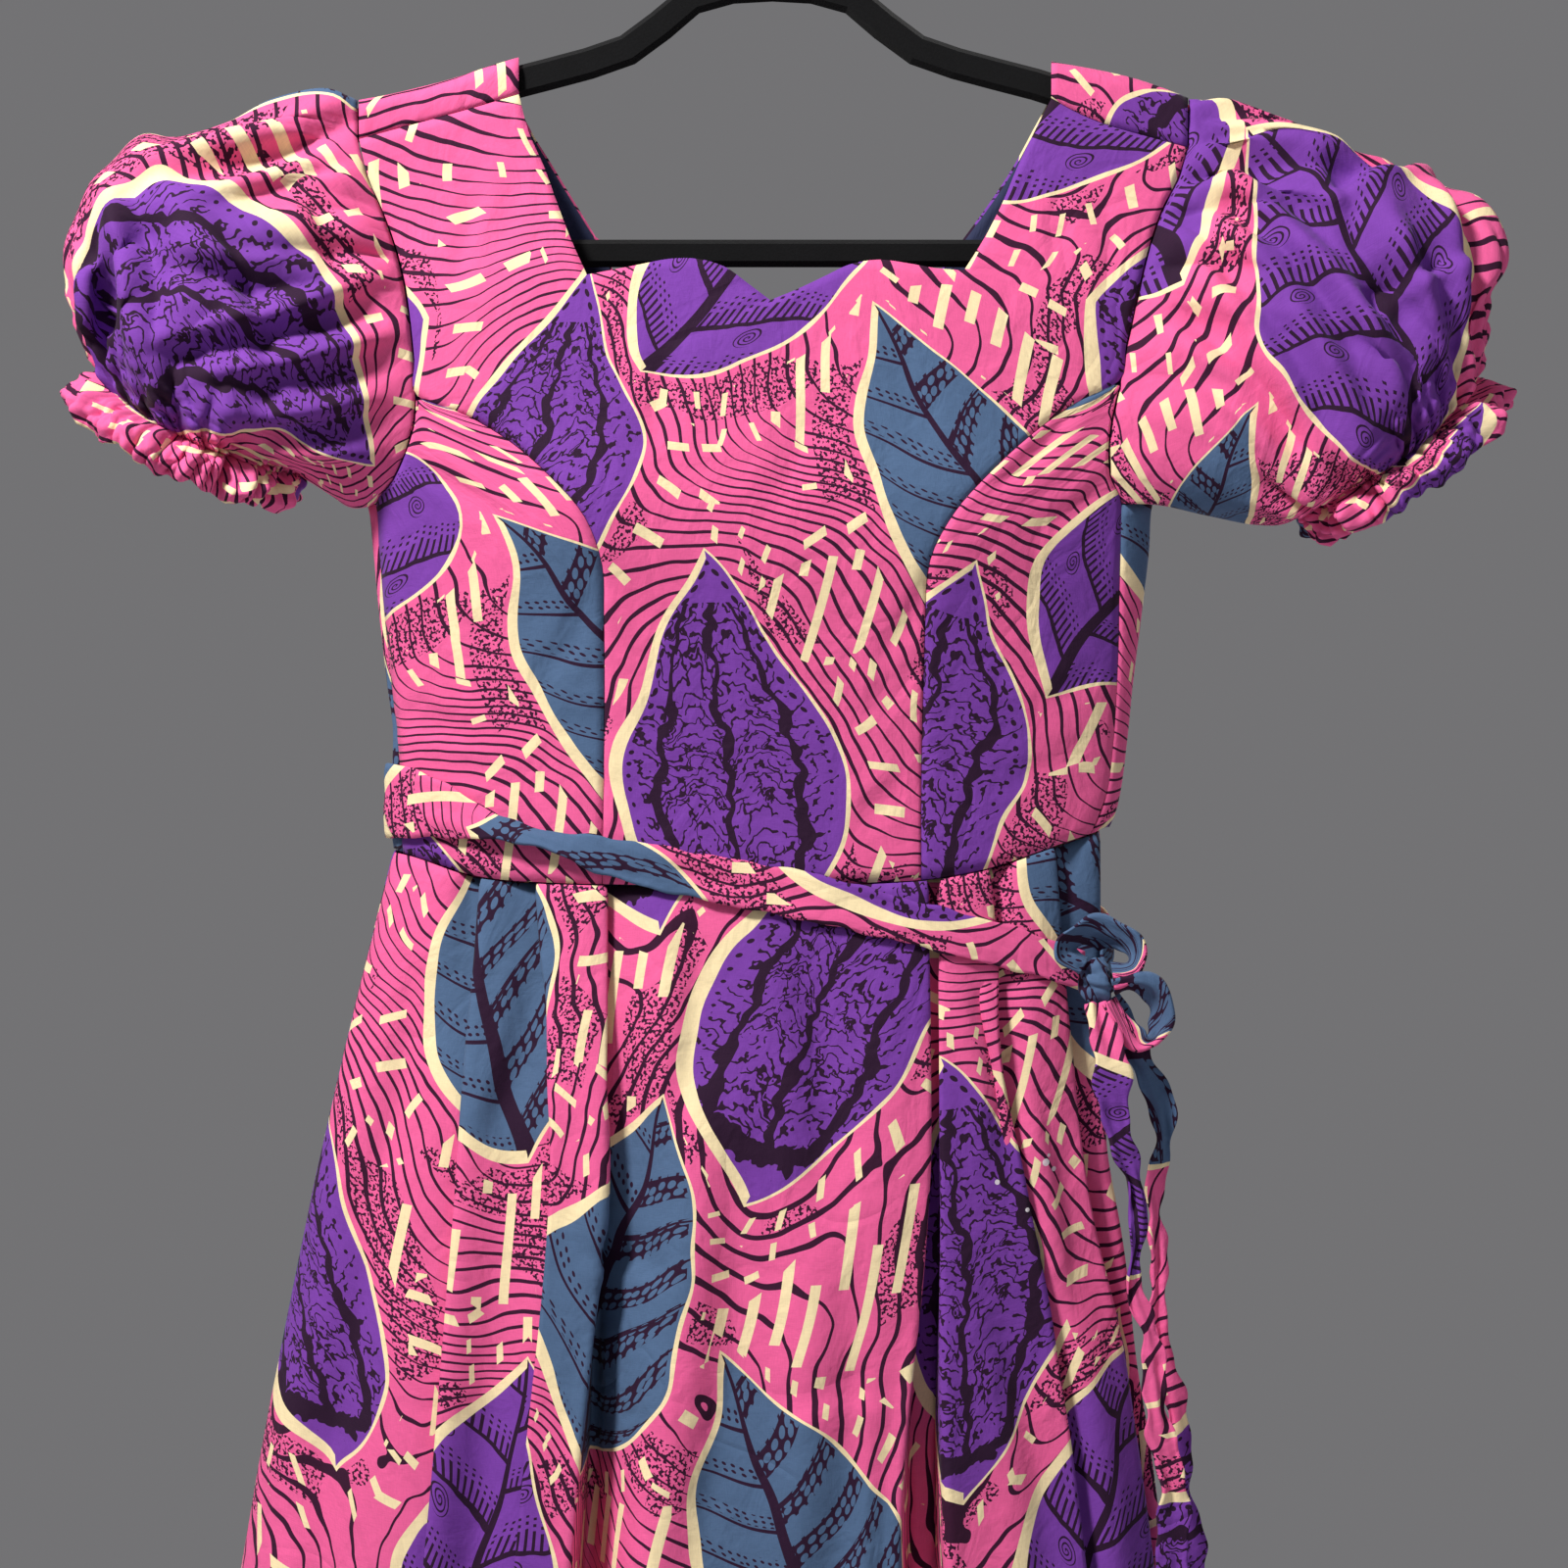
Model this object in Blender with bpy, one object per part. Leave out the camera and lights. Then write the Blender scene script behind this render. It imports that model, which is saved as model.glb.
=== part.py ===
"""Wax print dress on a flocked hanger: garment panels, sash, hanger and hook.

Z is up, the front of the dress faces -Y and X runs to the right as it is seen
from the front.  The origin is the inside top of the hanger's hook.  Lengths in
the tables are millimetres.
"""

import math

import bmesh
import bpy
import numpy as np

for old in list(bpy.data.objects):
    bpy.data.objects.remove(old, do_unlink=True)

# --------------------------------------------------------------- dimensions
MM = 0.001
WALL = 1.6
TIE_WALL = 2.0
FACING_WALL = 1.4
SEAM_GAP = 0.3
ARMHOLE_GAP = 0.7
WAIST_GAP = 0.7
SHOULDER_ROLL = 6.3

# Front-view tables are laid out on the hanger's plane and drawn in towards
# this line of sight by how near a point stands.
SIGHT_DISTANCE = 1300.0
SIGHT_X = 5.5
SIGHT_Z = -478.0

HEM_Z = -1140.0
PLEAT_PITCH = 3.1

HOOK_WIRE_RADIUS = 1.9
HOOK_INNER_RADIUS = 22.0
HANGER_HALF_THICKNESS = 3.0

# Bodice side outline: height, left, right.  Above the underarm it is the
# width that the cross-section would have, so that the armhole stays open.
BODICE_SIDE = (
    (-560, -178, 152),
    (-530, -178, 153),
    (-510, -178, 155),
    (-487, -178.5, 162),
    (-455, -177.6, 166.5),
    (-432, -180.3, 168.8),
    (-395, -184.5, 173.4),
    (-368, -187, 176.6),
    (-347, -189.5, 178),
    (-325, -198, 186),
    (-300, -208, 196),
    (-250, -218, 212),
    (-140, -225, 228),
)

# Cross-section depth: height, front, back, side.
BODICE_DEPTH = (
    (-560, 35, 31, 4),
    (-522, 34, 30, 4),
    (-480, 33, 27, 4),
    (-420, 35, 25, 3),
    (-350, 39, 25, 2),
    (-300, 34, 21, 1),
    (-230, 23, 16, 0),
    (-180, 13, 11, 0),
    (-130, 8, 8, 0),
)

# Bust fullness: x, z, height, spread.
BUST = ((-92, -352, 7, 34), (88, -352, 7, 34))

# Shoulder ridge over the hanger: x, z.
RIDGE = (
    (-240, -170),
    (-197, -158),
    (-181, -155),
    (-144, -145.5),
    (-124, -138.5),
    (0, -120),
    (132, -139.5),
    (171, -147.5),
    (210, -162),
    (240, -172),
)

SHOULDER_SEAM_LEFT = ((-194, -175), (-146, -162), (-119, -154))
SHOULDER_SEAM_RIGHT = ((195, -179), (153, -167), (131, -156))

NECK_LEFT = ((-119, -154), (-113, -176), (-105, -193), (-98, -214), (-87, -239))
NECK_RIGHT = ((131, -156), (120, -178), (113, -193), (104, -214), (90, -237))
SWEETHEART = (
    (-87, -239),
    (-71, -236),
    (-53, -232.5),
    (-40, -231),
    (-23, -235),
    (-9, -245),
    (-1, -251),
    (9, -247),
    (24, -240),
    (37, -234),
    (49, -232),
    (66, -234),
    (77, -236),
    (90, -237),
)
BACK_NECK = (
    (-121.5, -152),
    (-118, -163),
    (-100, -193),
    (-83, -221),
    (-66, -250),
    (-38, -269),
    (0, -275),
    (38, -269),
    (68, -250),
    (89, -223),
    (109, -195),
    (124, -168),
    (131, -154),
)

# Princess seams from the waist up to the armhole.
PRINCESS_LEFT = (
    (-80, -525),
    (-79, -455),
    (-79, -409),
    (-80, -375),
    (-84, -360),
    (-93, -346),
    (-107, -331),
    (-122, -318),
    (-141, -306),
    (-167, -296),
)
PRINCESS_RIGHT = (
    (70, -523),
    (70, -478),
    (71, -432),
    (73, -382),
    (78, -362),
    (91, -344),
    (103, -331),
    (116, -319),
    (134, -304),
    (163, -289),
)

SIDE_SEAM_LEFT = ((-174, -510), (-175, -470), (-179, -430), (-183, -390), (-186, -347))
SIDE_SEAM_RIGHT = ((150, -501.5), (158, -478), (162, -430), (163, -390), (164, -347))

# Front armholes from the side seam up to the shoulder seam.
ARMHOLE_FRONT_LEFT = (
    (-186, -347),
    (-179, -338),
    (-171.5, -322),
    (-167.5, -308),
    (-167, -296),
    (-167.5, -283),
    (-169.5, -262),
    (-172, -244),
    (-179, -218),
    (-189, -195),
    (-194, -175),
)
ARMHOLE_FRONT_RIGHT = (
    (164, -347),
    (159.5, -338),
    (157.5, -325),
    (159, -308),
    (163, -289),
    (166, -272),
    (169.5, -257),
    (175, -232),
    (182, -210),
    (191, -192),
    (195, -179),
)
# Back armholes from the underarm up to the ridge.
ARMHOLE_BACK_LEFT = (
    (-187, -345),
    (-180, -328),
    (-174, -303),
    (-172, -270),
    (-176, -240),
    (-184, -210),
    (-191, -187),
    (-196, -166),
)
ARMHOLE_BACK_RIGHT = (
    (176, -344),
    (170, -325),
    (165, -300),
    (168, -270),
    (175, -240),
    (183, -215),
    (193, -190),
    (202, -170),
)

WAIST_FRONT = (
    (-183, -508),
    (-167, -512),
    (-140, -521),
    (-111, -524),
    (-80, -525),
    (0, -526),
    (52, -524),
    (70, -523),
    (100, -518),
    (133, -507),
    (160, -498),
)
WAIST_BACK = ((-183, -508), (-120, -510), (0, -512), (100, -506), (160, -498))

# Skirt outline at four heights: waist, upper, middle, hem (share of length).
SKIRT_LEVELS = (0.0, 0.19, 0.45, 1.0)
SKIRT_LEFT = (-178, -207, -240, -295)
SKIRT_RIGHT = (154.5, 158, 180, 226)
SKIRT_FRONT_DEPTH = (34, 52, 66, 88)
SKIRT_BACK_DEPTH = (30, 46, 60, 84)
SKIRT_SIDE_Y = (4, 5, 6, 8)
SEAM_RIGHT_X = (154, 153, 171, 213)
SEAM_RIGHT_Y = (4, 8, 14, 20)
TURN_RIGHT_X = (152, 155.5, 177, 222)
TURN_RIGHT_Y = (-5, -3, 2, 4)

# Pleats: way the edge points, edge x, inner fold x, depth, joined to next.
FRONT_FOLDS = (
    ("pleat", -1, (-137, -146, -160, -196), (-126, -139, -154, -189), (6.2, 6.5, 6.5, 8), 1),
    ("soft", (-129, -125, -137, -172), (0.3, 7, 12, 18)),
    ("pleat", -1, (-111, -104, -118, -154), (-100, -96, -110, -145), (6.2, 7, 7, 9), 1),
    ("pleat", 1, (-77.5, -78, -93, -127), (-94, -84, -86, -112), (6.2, 16, 36, 46), 1),
    ("soft", (-58, -44, -58, -80), (0, 0, -1, -5)),
    ("soft", (-30, -20, -28, -40), (0, 1.5, 2, 0)),
    ("soft", (0, 5, 2, -2), (0, 2, 4, 6)),
    ("soft", (28, 32, 26, 24), (0, 1, 1, 0)),
    ("soft", (46, 52, 44, 38), (0, 0, -2, -6)),
    ("pleat", 1, (73, 74, 60, 52), (58, 67, 64, 60), (6.2, 13, 30, 40), 0),
    ("pleat", -1, (78.7, 79, 82, 96), (88.5, 83, 77, 84), (6.2, 13, 30, 40), 0),
    ("pleat", 1, (102, 114, 143, 168), (92, 106, 136, 160), (6.2, 8, 10, 18), 1),
    ("soft", (113, 125, 154, 184), (0.8, 0.5, 1, 2)),
    ("pleat", 1, (132.5, 143, 172, 213), (120, 135, 160, 197), (6.2, 13, 20, 26), 1),
)
BACK_FOLDS = (
    ("pleat", -1, (-132, -148, -172, -212), (-120, -139, -164, -204), (6.2, 9, 14, 22), 1),
    ("soft", (-112, -118, -136, -166), (0, 0, 2, 0)),
    ("pleat", 1, (-90, -95, -104, -122), (-104, -88, -92, -104), (6.2, 16, 30, 40), 1),
    ("soft", (-66, -64, -70, -78), (0, 0, 0, -3)),
    ("pleat", 1, (-40, -38, -42, -50), (-54, -33, -34, -36), (6.2, 12, 22, 30), 1),
    ("soft", (0, -2, -4, -2), (0, 0, 0, -4)),
    ("pleat", -1, (34, 36, 40, 46), (48, 30, 30, 32), (6.2, 12, 24, 32), 1),
    ("soft", (58, 60, 70, 82), (0, 0, 0, -3)),
    ("pleat", -1, (80, 86, 98, 118), (94, 78, 86, 104), (6.2, 14, 28, 38), 1),
    ("pleat", 1, (120, 126, 146, 182), (108, 116, 137, 174), (6.2, 8, 12, 18), 1),
)

# Sleeve outlines in front view from the armhole to the elastic.
SLEEVE_LEFT_TOP = (
    (-197, -158),
    (-214, -156),
    (-235, -161),
    (-256, -168),
    (-279, -172),
    (-296, -173),
    (-308, -183),
    (-320, -195),
    (-325, -211),
    (-329, -228),
    (-327, -249),
    (-322, -270),
    (-314, -286),
)
SLEEVE_LEFT_UNDER = ((-189, -350), (-196, -349), (-205, -343), (-217, -336), (-227, -327))
SLEEVE_RIGHT_TOP = (
    (209, -162),
    (226, -163),
    (246, -166),
    (260, -171),
    (276, -178),
    (291, -181),
    (306, -188),
    (320, -196),
    (331, -205),
    (338, -220),
    (339, -235),
    (332, -250),
    (331, -266),
    (331, -280),
    (326, -291),
)
SLEEVE_RIGHT_UNDER = ((177, -350), (186, -350), (204, -352), (226, -355), (242, -353), (252, -343))
# Share of the way along, half depth front to back.
SLEEVE_DEPTH = ((0, 18), (0.15, 33), (0.35, 46), (0.6, 50), (0.82, 44), (1, 34))
SLEEVE_ROWS = (0, 0.08, 0.18, 0.32, 0.52, 0.72, 0.9, 1)
CUFF_DIP = 11.0
CAP_GATHERS = 9
CUFF_GATHERS = 11
GATHER_HEIGHT = 3.0
FRILL_WAVES = 14
FRILL_LENGTH = 20.0
FRILL_FLARE = 5.0
FRILL_WAVE = 4.0
FRILL_GAP = 1.1

FACING_WIDTH = 42.0

# Sash stretch over the front and round the left side, then round the back:
# x or side angle, z of the middle, half width, lift, lean of the width.
SASH_FRONT = (
    (146.6, -566, 9, 7.9, 0.0),
    (118, -556.5, 10, 3.0, 0.0),
    (93, -550, 10.5, 3.0, 0.0),
    (60, -541.5, 10.5, 3.0, 0.0),
    (20, -531.5, 11.5, 3.0, 0.0),
    (-20, -524, 11, 3.0, 0.0),
    (-55, -517, 10.5, 3.0, 0.0),
    (-82, -511, 9, 4.0, 0.25),
    (-103, -505, 7.5, 6.5, 0.75),
    (-122, -500, 7.5, 6.5, 0.75),
    (-140, -495, 9.5, 4.5, 0.3),
    (-155, -490, 13, 3.4, 0.0),
    (-166, -487.5, 16, 3.2, 0.0),
)
SASH_BACK = (
    (-12, -486, 17, 3.2),
    (0, -486, 17, 3.2),
    (14, -487, 16, 3.2),
    (32, -489, 15, 3.2),
    (55, -494, 14, 3.2),
    (80, -503, 13, 3.2),
    (105, -515, 13, 3.2),
    (130, -528, 13, 3.2),
    (150, -539, 12.5, 3.2),
    (166, -547, 12, 3.4),
    (177, -552, 11, 3.8),
    (187, -557, 10, 5.0),
    (197.5, -562, 8.5, 8.2),
)

KNOT = (152.5, -23.6, -571.0)
KNOT_RADII = (7.9, 7.8, 10.4)
# x, y, z, half width, lean of the width towards the front.
LOOP_UPPER = (
    (146.8, -27.5, -562.5, 5.5, 1.25),
    (138, -28.5, -557, 7, 1.2),
    (141, -27, -550, 8, 1.1),
    (152, -24, -546, 8, 1.05),
    (163, -25, -549, 8, 1.05),
    (170, -27, -556, 7.5, 1.1),
    (168, -29, -564, 7, 1.2),
    (159.5, -28.4, -566.2, 5.5, 1.3),
)
LOOP_SIDE = (
    (160.1, -28.5, -574.5, 5, 1.3),
    (171, -32, -572.5, 6.5, 1.2),
    (180, -31, -578, 7, 1.1),
    (183, -30, -589, 7, 1.1),
    (178.5, -29, -600, 6.5, 1.1),
    (170.5, -30, -598, 6, 1.2),
    (158.8, -26.8, -579.4, 5, 1.3),
)
TAIL_FRONT = (
    (152.3, -29.3, -580.7, 4, 0.5),
    (155, -37, -597, 7.5, 0.2),
    (159, -40, -616, 8.5, 0.15),
    (164, -38, -642, 6, 0.6),
    (169.5, -36, -670, 4, 0.9),
    (171.5, -35, -695, 3.6, 0.9),
    (171, -34, -719, 3.8, 0.7),
    (176, -34, -735, 4.6, 0.5),
    (178.5, -34, -756, 5, 0.4),
    (182.5, -34, -778, 5.8, 0.3),
    (186, -34, -802, 6.5, 0.2),
    (189, -34, -846, 8, 0.1),
    (192, -35, -902, 9, 0.1),
)
TAIL_BACK = (
    (158.9, -19.1, -578.7, 5, 0.6),
    (171, -15, -600, 6, 0.3),
    (178, -16, -618, 6.5, 0.3),
    (183, -16, -640, 5, 0.6),
    (181, -15, -664, 4, 0.8),
    (180, -14, -692, 4, 0.8),
    (181, -14, -727, 4.2, 0.7),
    (186, -15, -755, 4.6, 0.6),
    (191.5, -16, -796, 5.5, 0.4),
    (196, -17, -846, 7, 0.2),
    (202, -18, -938, 9, 0.1),
)

# Half of the hanger's middle line from the arch to the bar: x, z, width.
HANGER_HALF = (
    (0, -103.3, 15),
    (16, -104, 15),
    (30, -106.6, 15),
    (41, -111.5, 15),
    (49.5, -119, 15),
    (58, -127.3, 15),
    (70, -134.4, 15),
    (92, -141.5, 15),
    (122, -149.2, 15),
    (150, -158, 15),
    (180, -165.5, 15),
    (203, -172.5, 14),
    (215.5, -181, 13),
    (219, -195, 12.5),
    (214.5, -209, 12.5),
    (203, -220, 12.7),
    (184, -227, 13),
    (150, -229, 13),
    (75, -229, 13),
    (0, -229, 13),
)

HOOK_STEM = ((0, -95.2), (0, -80), (0.5, -64), (5, -53), (13.5, -44.5), (21, -34.5))
HOOK_END_DEGREES = 208

# Row and column counts.
FRONT_STRAP_COLUMNS = 5
FRONT_NECK_COLUMNS = 14
SIDE_ROWS = 7
ARM_ROWS = 4
STRAP_ROWS = 5
SIDE_COLUMNS = 6
BACK_NECK_COLUMNS = 7
SLEEVE_STEP = 9.5
FRILL_COLUMNS = 56
SKIRT_ROWS = (0, 0.03, 0.08, 0.15, 0.25, 0.37, 0.52, 0.68, 0.84, 1)


# ------------------------------------------------------------------ helpers
def smooth(a, b, x):
    """Eases from 0 at a to 1 at b."""
    t = np.clip((np.asarray(x, float) - a) / (b - a), 0, 1)
    return t * t * (3 - 2 * t)


def hermite(xs, ys, x):
    """Smooth curve through a table of values."""
    xs = np.asarray(xs, float)
    ys = np.asarray(ys, float)
    x = np.clip(np.asarray(x, float), xs[0], xs[-1])
    slope = np.diff(ys) / np.diff(xs)
    inner = np.where(slope[:-1] * slope[1:] > 0, (slope[:-1] + slope[1:]) / 2, 0)
    limit = 3 * np.minimum(abs(slope[:-1]), abs(slope[1:]))
    inner = np.clip(inner, -limit, limit)
    m = np.concatenate([slope[:1], inner, slope[-1:]])
    k = np.clip(np.searchsorted(xs, x, side="right") - 1, 0, len(xs) - 2)
    h = xs[k + 1] - xs[k]
    t = (x - xs[k]) / h
    a = (1 + 2 * t) * (1 - t) ** 2 * ys[k] + t * (1 - t) ** 2 * h * m[k]
    b = t * t * (3 - 2 * t) * ys[k + 1] + t * t * (t - 1) * h * m[k + 1]
    return a + b


def column(table, index, x):
    """One column of a table at x."""
    rows = sorted(table)
    return hermite([r[0] for r in rows], [r[index] for r in rows], x)


def spline(points, n):
    """n points evenly spaced along a smooth curve through the points."""
    p = np.asarray(points, float)
    if len(p) > 2:
        ext = np.vstack([2 * p[0] - p[1], p, 2 * p[-1] - p[-2]])
        t = np.linspace(0, 1, 12, endpoint=False)[:, None]
        out = []
        for i in range(len(p) - 1):
            a, b, c, d = ext[i : i + 4]
            out.append(
                0.5
                * (
                    2 * b
                    + (c - a) * t
                    + (2 * a - 5 * b + 4 * c - d) * t**2
                    + (3 * b - a - 3 * c + d) * t**3
                )
            )
        p = np.vstack(out + [p[-1:]])
    run = np.concatenate([[0], np.cumsum(np.linalg.norm(np.diff(p, axis=0), axis=1))])
    where = np.linspace(0, run[-1], n) if np.isscalar(n) else np.asarray(n) * run[-1]
    return np.stack([np.interp(where, run, p[:, k]) for k in range(p.shape[1])], axis=1)


def shifted(line, distance):
    """A line in the front view moved sideways, to the right of its course."""
    line = np.asarray(line, float)
    way = np.gradient(line, axis=0)
    way /= np.linalg.norm(way, axis=1)[:, None]
    return line + distance * np.stack([way[:, 1], -way[:, 0]], axis=1)


def coons(bottom, top, left, right):
    """Grid between four edges; rows run from bottom to top."""
    u = np.linspace(0, 1, len(bottom))[None, :, None]
    v = np.linspace(0, 1, len(left))[:, None, None]
    across = (1 - v) * bottom[None] + v * top[None]
    up = (1 - u) * left[:, None] + u * right[:, None]
    corner = (1 - v) * ((1 - u) * bottom[0] + u * bottom[-1])
    corner = corner + v * ((1 - u) * top[0] + u * top[-1])
    return across + up - corner


def real(x, y, z):
    """Front-view place and depth to a place in the room."""
    k = (SIGHT_DISTANCE + y) / SIGHT_DISTANCE
    return np.stack(
        np.broadcast_arrays(SIGHT_X + (x - SIGHT_X) * k, y, SIGHT_Z + (z - SIGHT_Z) * k),
        axis=-1,
    )


# --------------------------------------------------------------------- form
def profile(c):
    """Depth share across a cross-section, 1 in the middle and 0 at a side."""
    return np.sqrt(np.clip(1 - np.abs(c) ** 2.2, 0, 1))


def middle_and_half(z):
    left = column(BODICE_SIDE, 1, z)
    right = column(BODICE_SIDE, 2, z)
    return (left + right) / 2, (right - left) / 2


def bodice_y(x, z, side):
    """Depth of the bodice at a front-view place; side -1 front, +1 back."""
    x = np.asarray(x, float)
    z = np.asarray(z, float)
    mid, half = middle_and_half(z)
    depth = profile((x - mid) / half)
    depth = depth * column(BODICE_DEPTH, 1 if side < 0 else 2, z)
    if side < 0:
        for bx, bz, high, spread in BUST:
            depth = depth + high * np.exp(-((x - bx) ** 2 + (z - bz) ** 2) / spread**2)
    below = column(RIDGE, 1, x) - z
    blend = smooth(8, 110, below)
    return side * (SHOULDER_ROLL * (1 - blend) + depth * blend) + (
        column(BODICE_DEPTH, 3, z) * blend
    )


def round_y(angle, z, hand):
    """Bodice place by angle: 0 the side outline, 90 the back's middle."""
    mid, half = middle_and_half(z)
    c = np.cos(np.radians(angle))
    return mid + hand * half * c


def front_point(x, z):
    return real(x, bodice_y(x, z, -1), z)


def back_point(x, z):
    return real(x, bodice_y(x, z, 1), z)


def front_normal(p):
    """Outward direction of the bodice front at a place in the room."""
    k = (SIGHT_DISTANCE + p[1]) / SIGHT_DISTANCE
    x = SIGHT_X + (p[0] - SIGHT_X) / k
    z = SIGHT_Z + (p[2] - SIGHT_Z) / k
    across = front_point(x + 0.2, z) - front_point(x - 0.2, z)
    up = front_point(x, z + 0.2) - front_point(x, z - 0.2)
    n = np.cross(across, up)
    return n / np.linalg.norm(n)


def face_front(net):
    """Gives every point of a front piece the form's own direction."""
    for i, p in enumerate(net.points):
        net.normals[i] = front_normal(p)


def round_normal(p, hand):
    """Outward direction of the bodice's side and back at a place."""
    k = (SIGHT_DISTANCE + p[1]) / SIGHT_DISTANCE
    x = SIGHT_X + (p[0] - SIGHT_X) / k
    z = SIGHT_Z + (p[2] - SIGHT_Z) / k
    mid, half = middle_and_half(z)
    side = 1 if p[1] > float(column(BODICE_DEPTH, 3, z)) else -1
    a = float(side_angle(x, z, side))
    across = angle_point(a + 1.5, z, hand) - angle_point(a - 1.5, z, hand)
    up = angle_point(a, z + 0.3, hand) - angle_point(a, z - 0.3, hand)
    n = np.cross(across, up) * hand
    return n / np.linalg.norm(n)


def side_angle(x, z, side):
    """Angle of a front-view place on the front (-1) or back (+1)."""
    mid, half = middle_and_half(z)
    c = np.clip(np.abs(x - mid) / half, 0, 1)
    return side * np.degrees(np.arccos(c))


def angle_point(angle, z, hand):
    """Place on the bodice from an angle; negative angles are on the front."""
    x = round_y(angle, z, hand)
    front = bodice_y(x, z, -1)
    back = bodice_y(x, z, 1)
    return real(x, np.where(np.asarray(angle) < 0, front, back), z)


# ------------------------------------------------------------------- solids
ARMHOLE = {}


class Net:
    """Middle surface of a cloth piece, welded from grids."""

    def __init__(self):
        self.places = {}
        self.points = []
        self.faces = []
        self.normals = {}

    def corner(self, p):
        key = tuple(np.round(np.asarray(p, float) * 2000).astype(int))
        if key not in self.places:
            self.places[key] = len(self.points)
            self.points.append(np.asarray(p, float))
        return self.places[key]

    def grid(self, g, closed=False):
        rows, cols = g.shape[:2]
        ids = [[self.corner(g[r, c]) for c in range(cols)] for r in range(rows)]
        for r in range(rows - 1):
            for c in range(cols if closed else cols - 1):
                d = (c + 1) % cols
                self.faces.append((ids[r][c], ids[r][d], ids[r + 1][d], ids[r + 1][c]))
        return ids

    def mesh(self, wall):
        p = np.array(self.points)
        n = np.zeros_like(p)
        uses = {}
        for f in self.faces:
            q = p[list(f)]
            w = np.cross(q[2] - q[0], q[3] - q[1])
            w /= max(np.linalg.norm(w), 1e-9)
            for i in f:
                n[i] += w
            for a, b in zip(f, f[1:] + f[:1]):
                uses.setdefault((min(a, b), max(a, b)), []).append((a, b))
        for i, given in self.normals.items():
            n[i] = np.asarray(given) * (1 if np.dot(n[i], given) > 0 else -1)
        n /= np.linalg.norm(n, axis=1)[:, None]
        count = len(p)
        points = np.vstack([p + n * wall / 2, p - n * wall / 2]) * MM
        faces = list(self.faces)
        faces += [tuple(i + count for i in reversed(f)) for f in self.faces]
        for sides in uses.values():
            if len(sides) == 1:
                a, b = sides[0]
                faces.append((b, a, a + count, b + count))
        return points, faces


def material(name, colour, rough, metal=0.0):
    m = bpy.data.materials.new(name)
    m.use_nodes = True
    shader = m.node_tree.nodes["Principled BSDF"]
    shader.inputs["Base Color"].default_value = (*colour, 1)
    shader.inputs["Roughness"].default_value = rough
    shader.inputs["Metallic"].default_value = metal
    return m


def add_object(name, points, faces, colour, rough=0.85, metal=0.0):
    mesh = bpy.data.meshes.new(name)
    mesh.from_pydata([tuple(map(float, v)) for v in points], [], faces)
    bm = bmesh.new()
    bm.from_mesh(mesh)
    bmesh.ops.triangulate(bm, faces=bm.faces[:])
    bmesh.ops.recalc_face_normals(bm, faces=bm.faces[:])
    bm.to_mesh(mesh)
    bm.free()
    mesh.materials.append(material(name, colour, rough, metal))
    obj = bpy.data.objects.new(name, mesh)
    bpy.context.scene.collection.objects.link(obj)
    return obj


def cloth(name, net, colour, wall=WALL):
    points, faces = net.mesh(wall)
    return add_object(name, points, faces, colour)


PINK = (0.78, 0.10, 0.32)
PURPLE = (0.17, 0.04, 0.40)
NAVY = (0.02, 0.03, 0.10)
BLACK = (0.012, 0.012, 0.014)
CHROME = (0.75, 0.75, 0.76)


# ------------------------------------------------------------ bodice pieces
def princess_lines(princess, armhole, meet, base):
    """Princess seam samples, and the armhole run from it to the strap base."""
    seam = spline(princess, SIDE_ROWS + ARM_ROWS + 1)
    run = spline(armhole[meet : base + 1], 3)
    return seam, run


def waist_line(x0, x1, n, table):
    x = np.linspace(x0, x1, n)
    return np.stack([x, hermite([p[0] for p in table], [p[1] for p in table], x)], axis=1)


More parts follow.
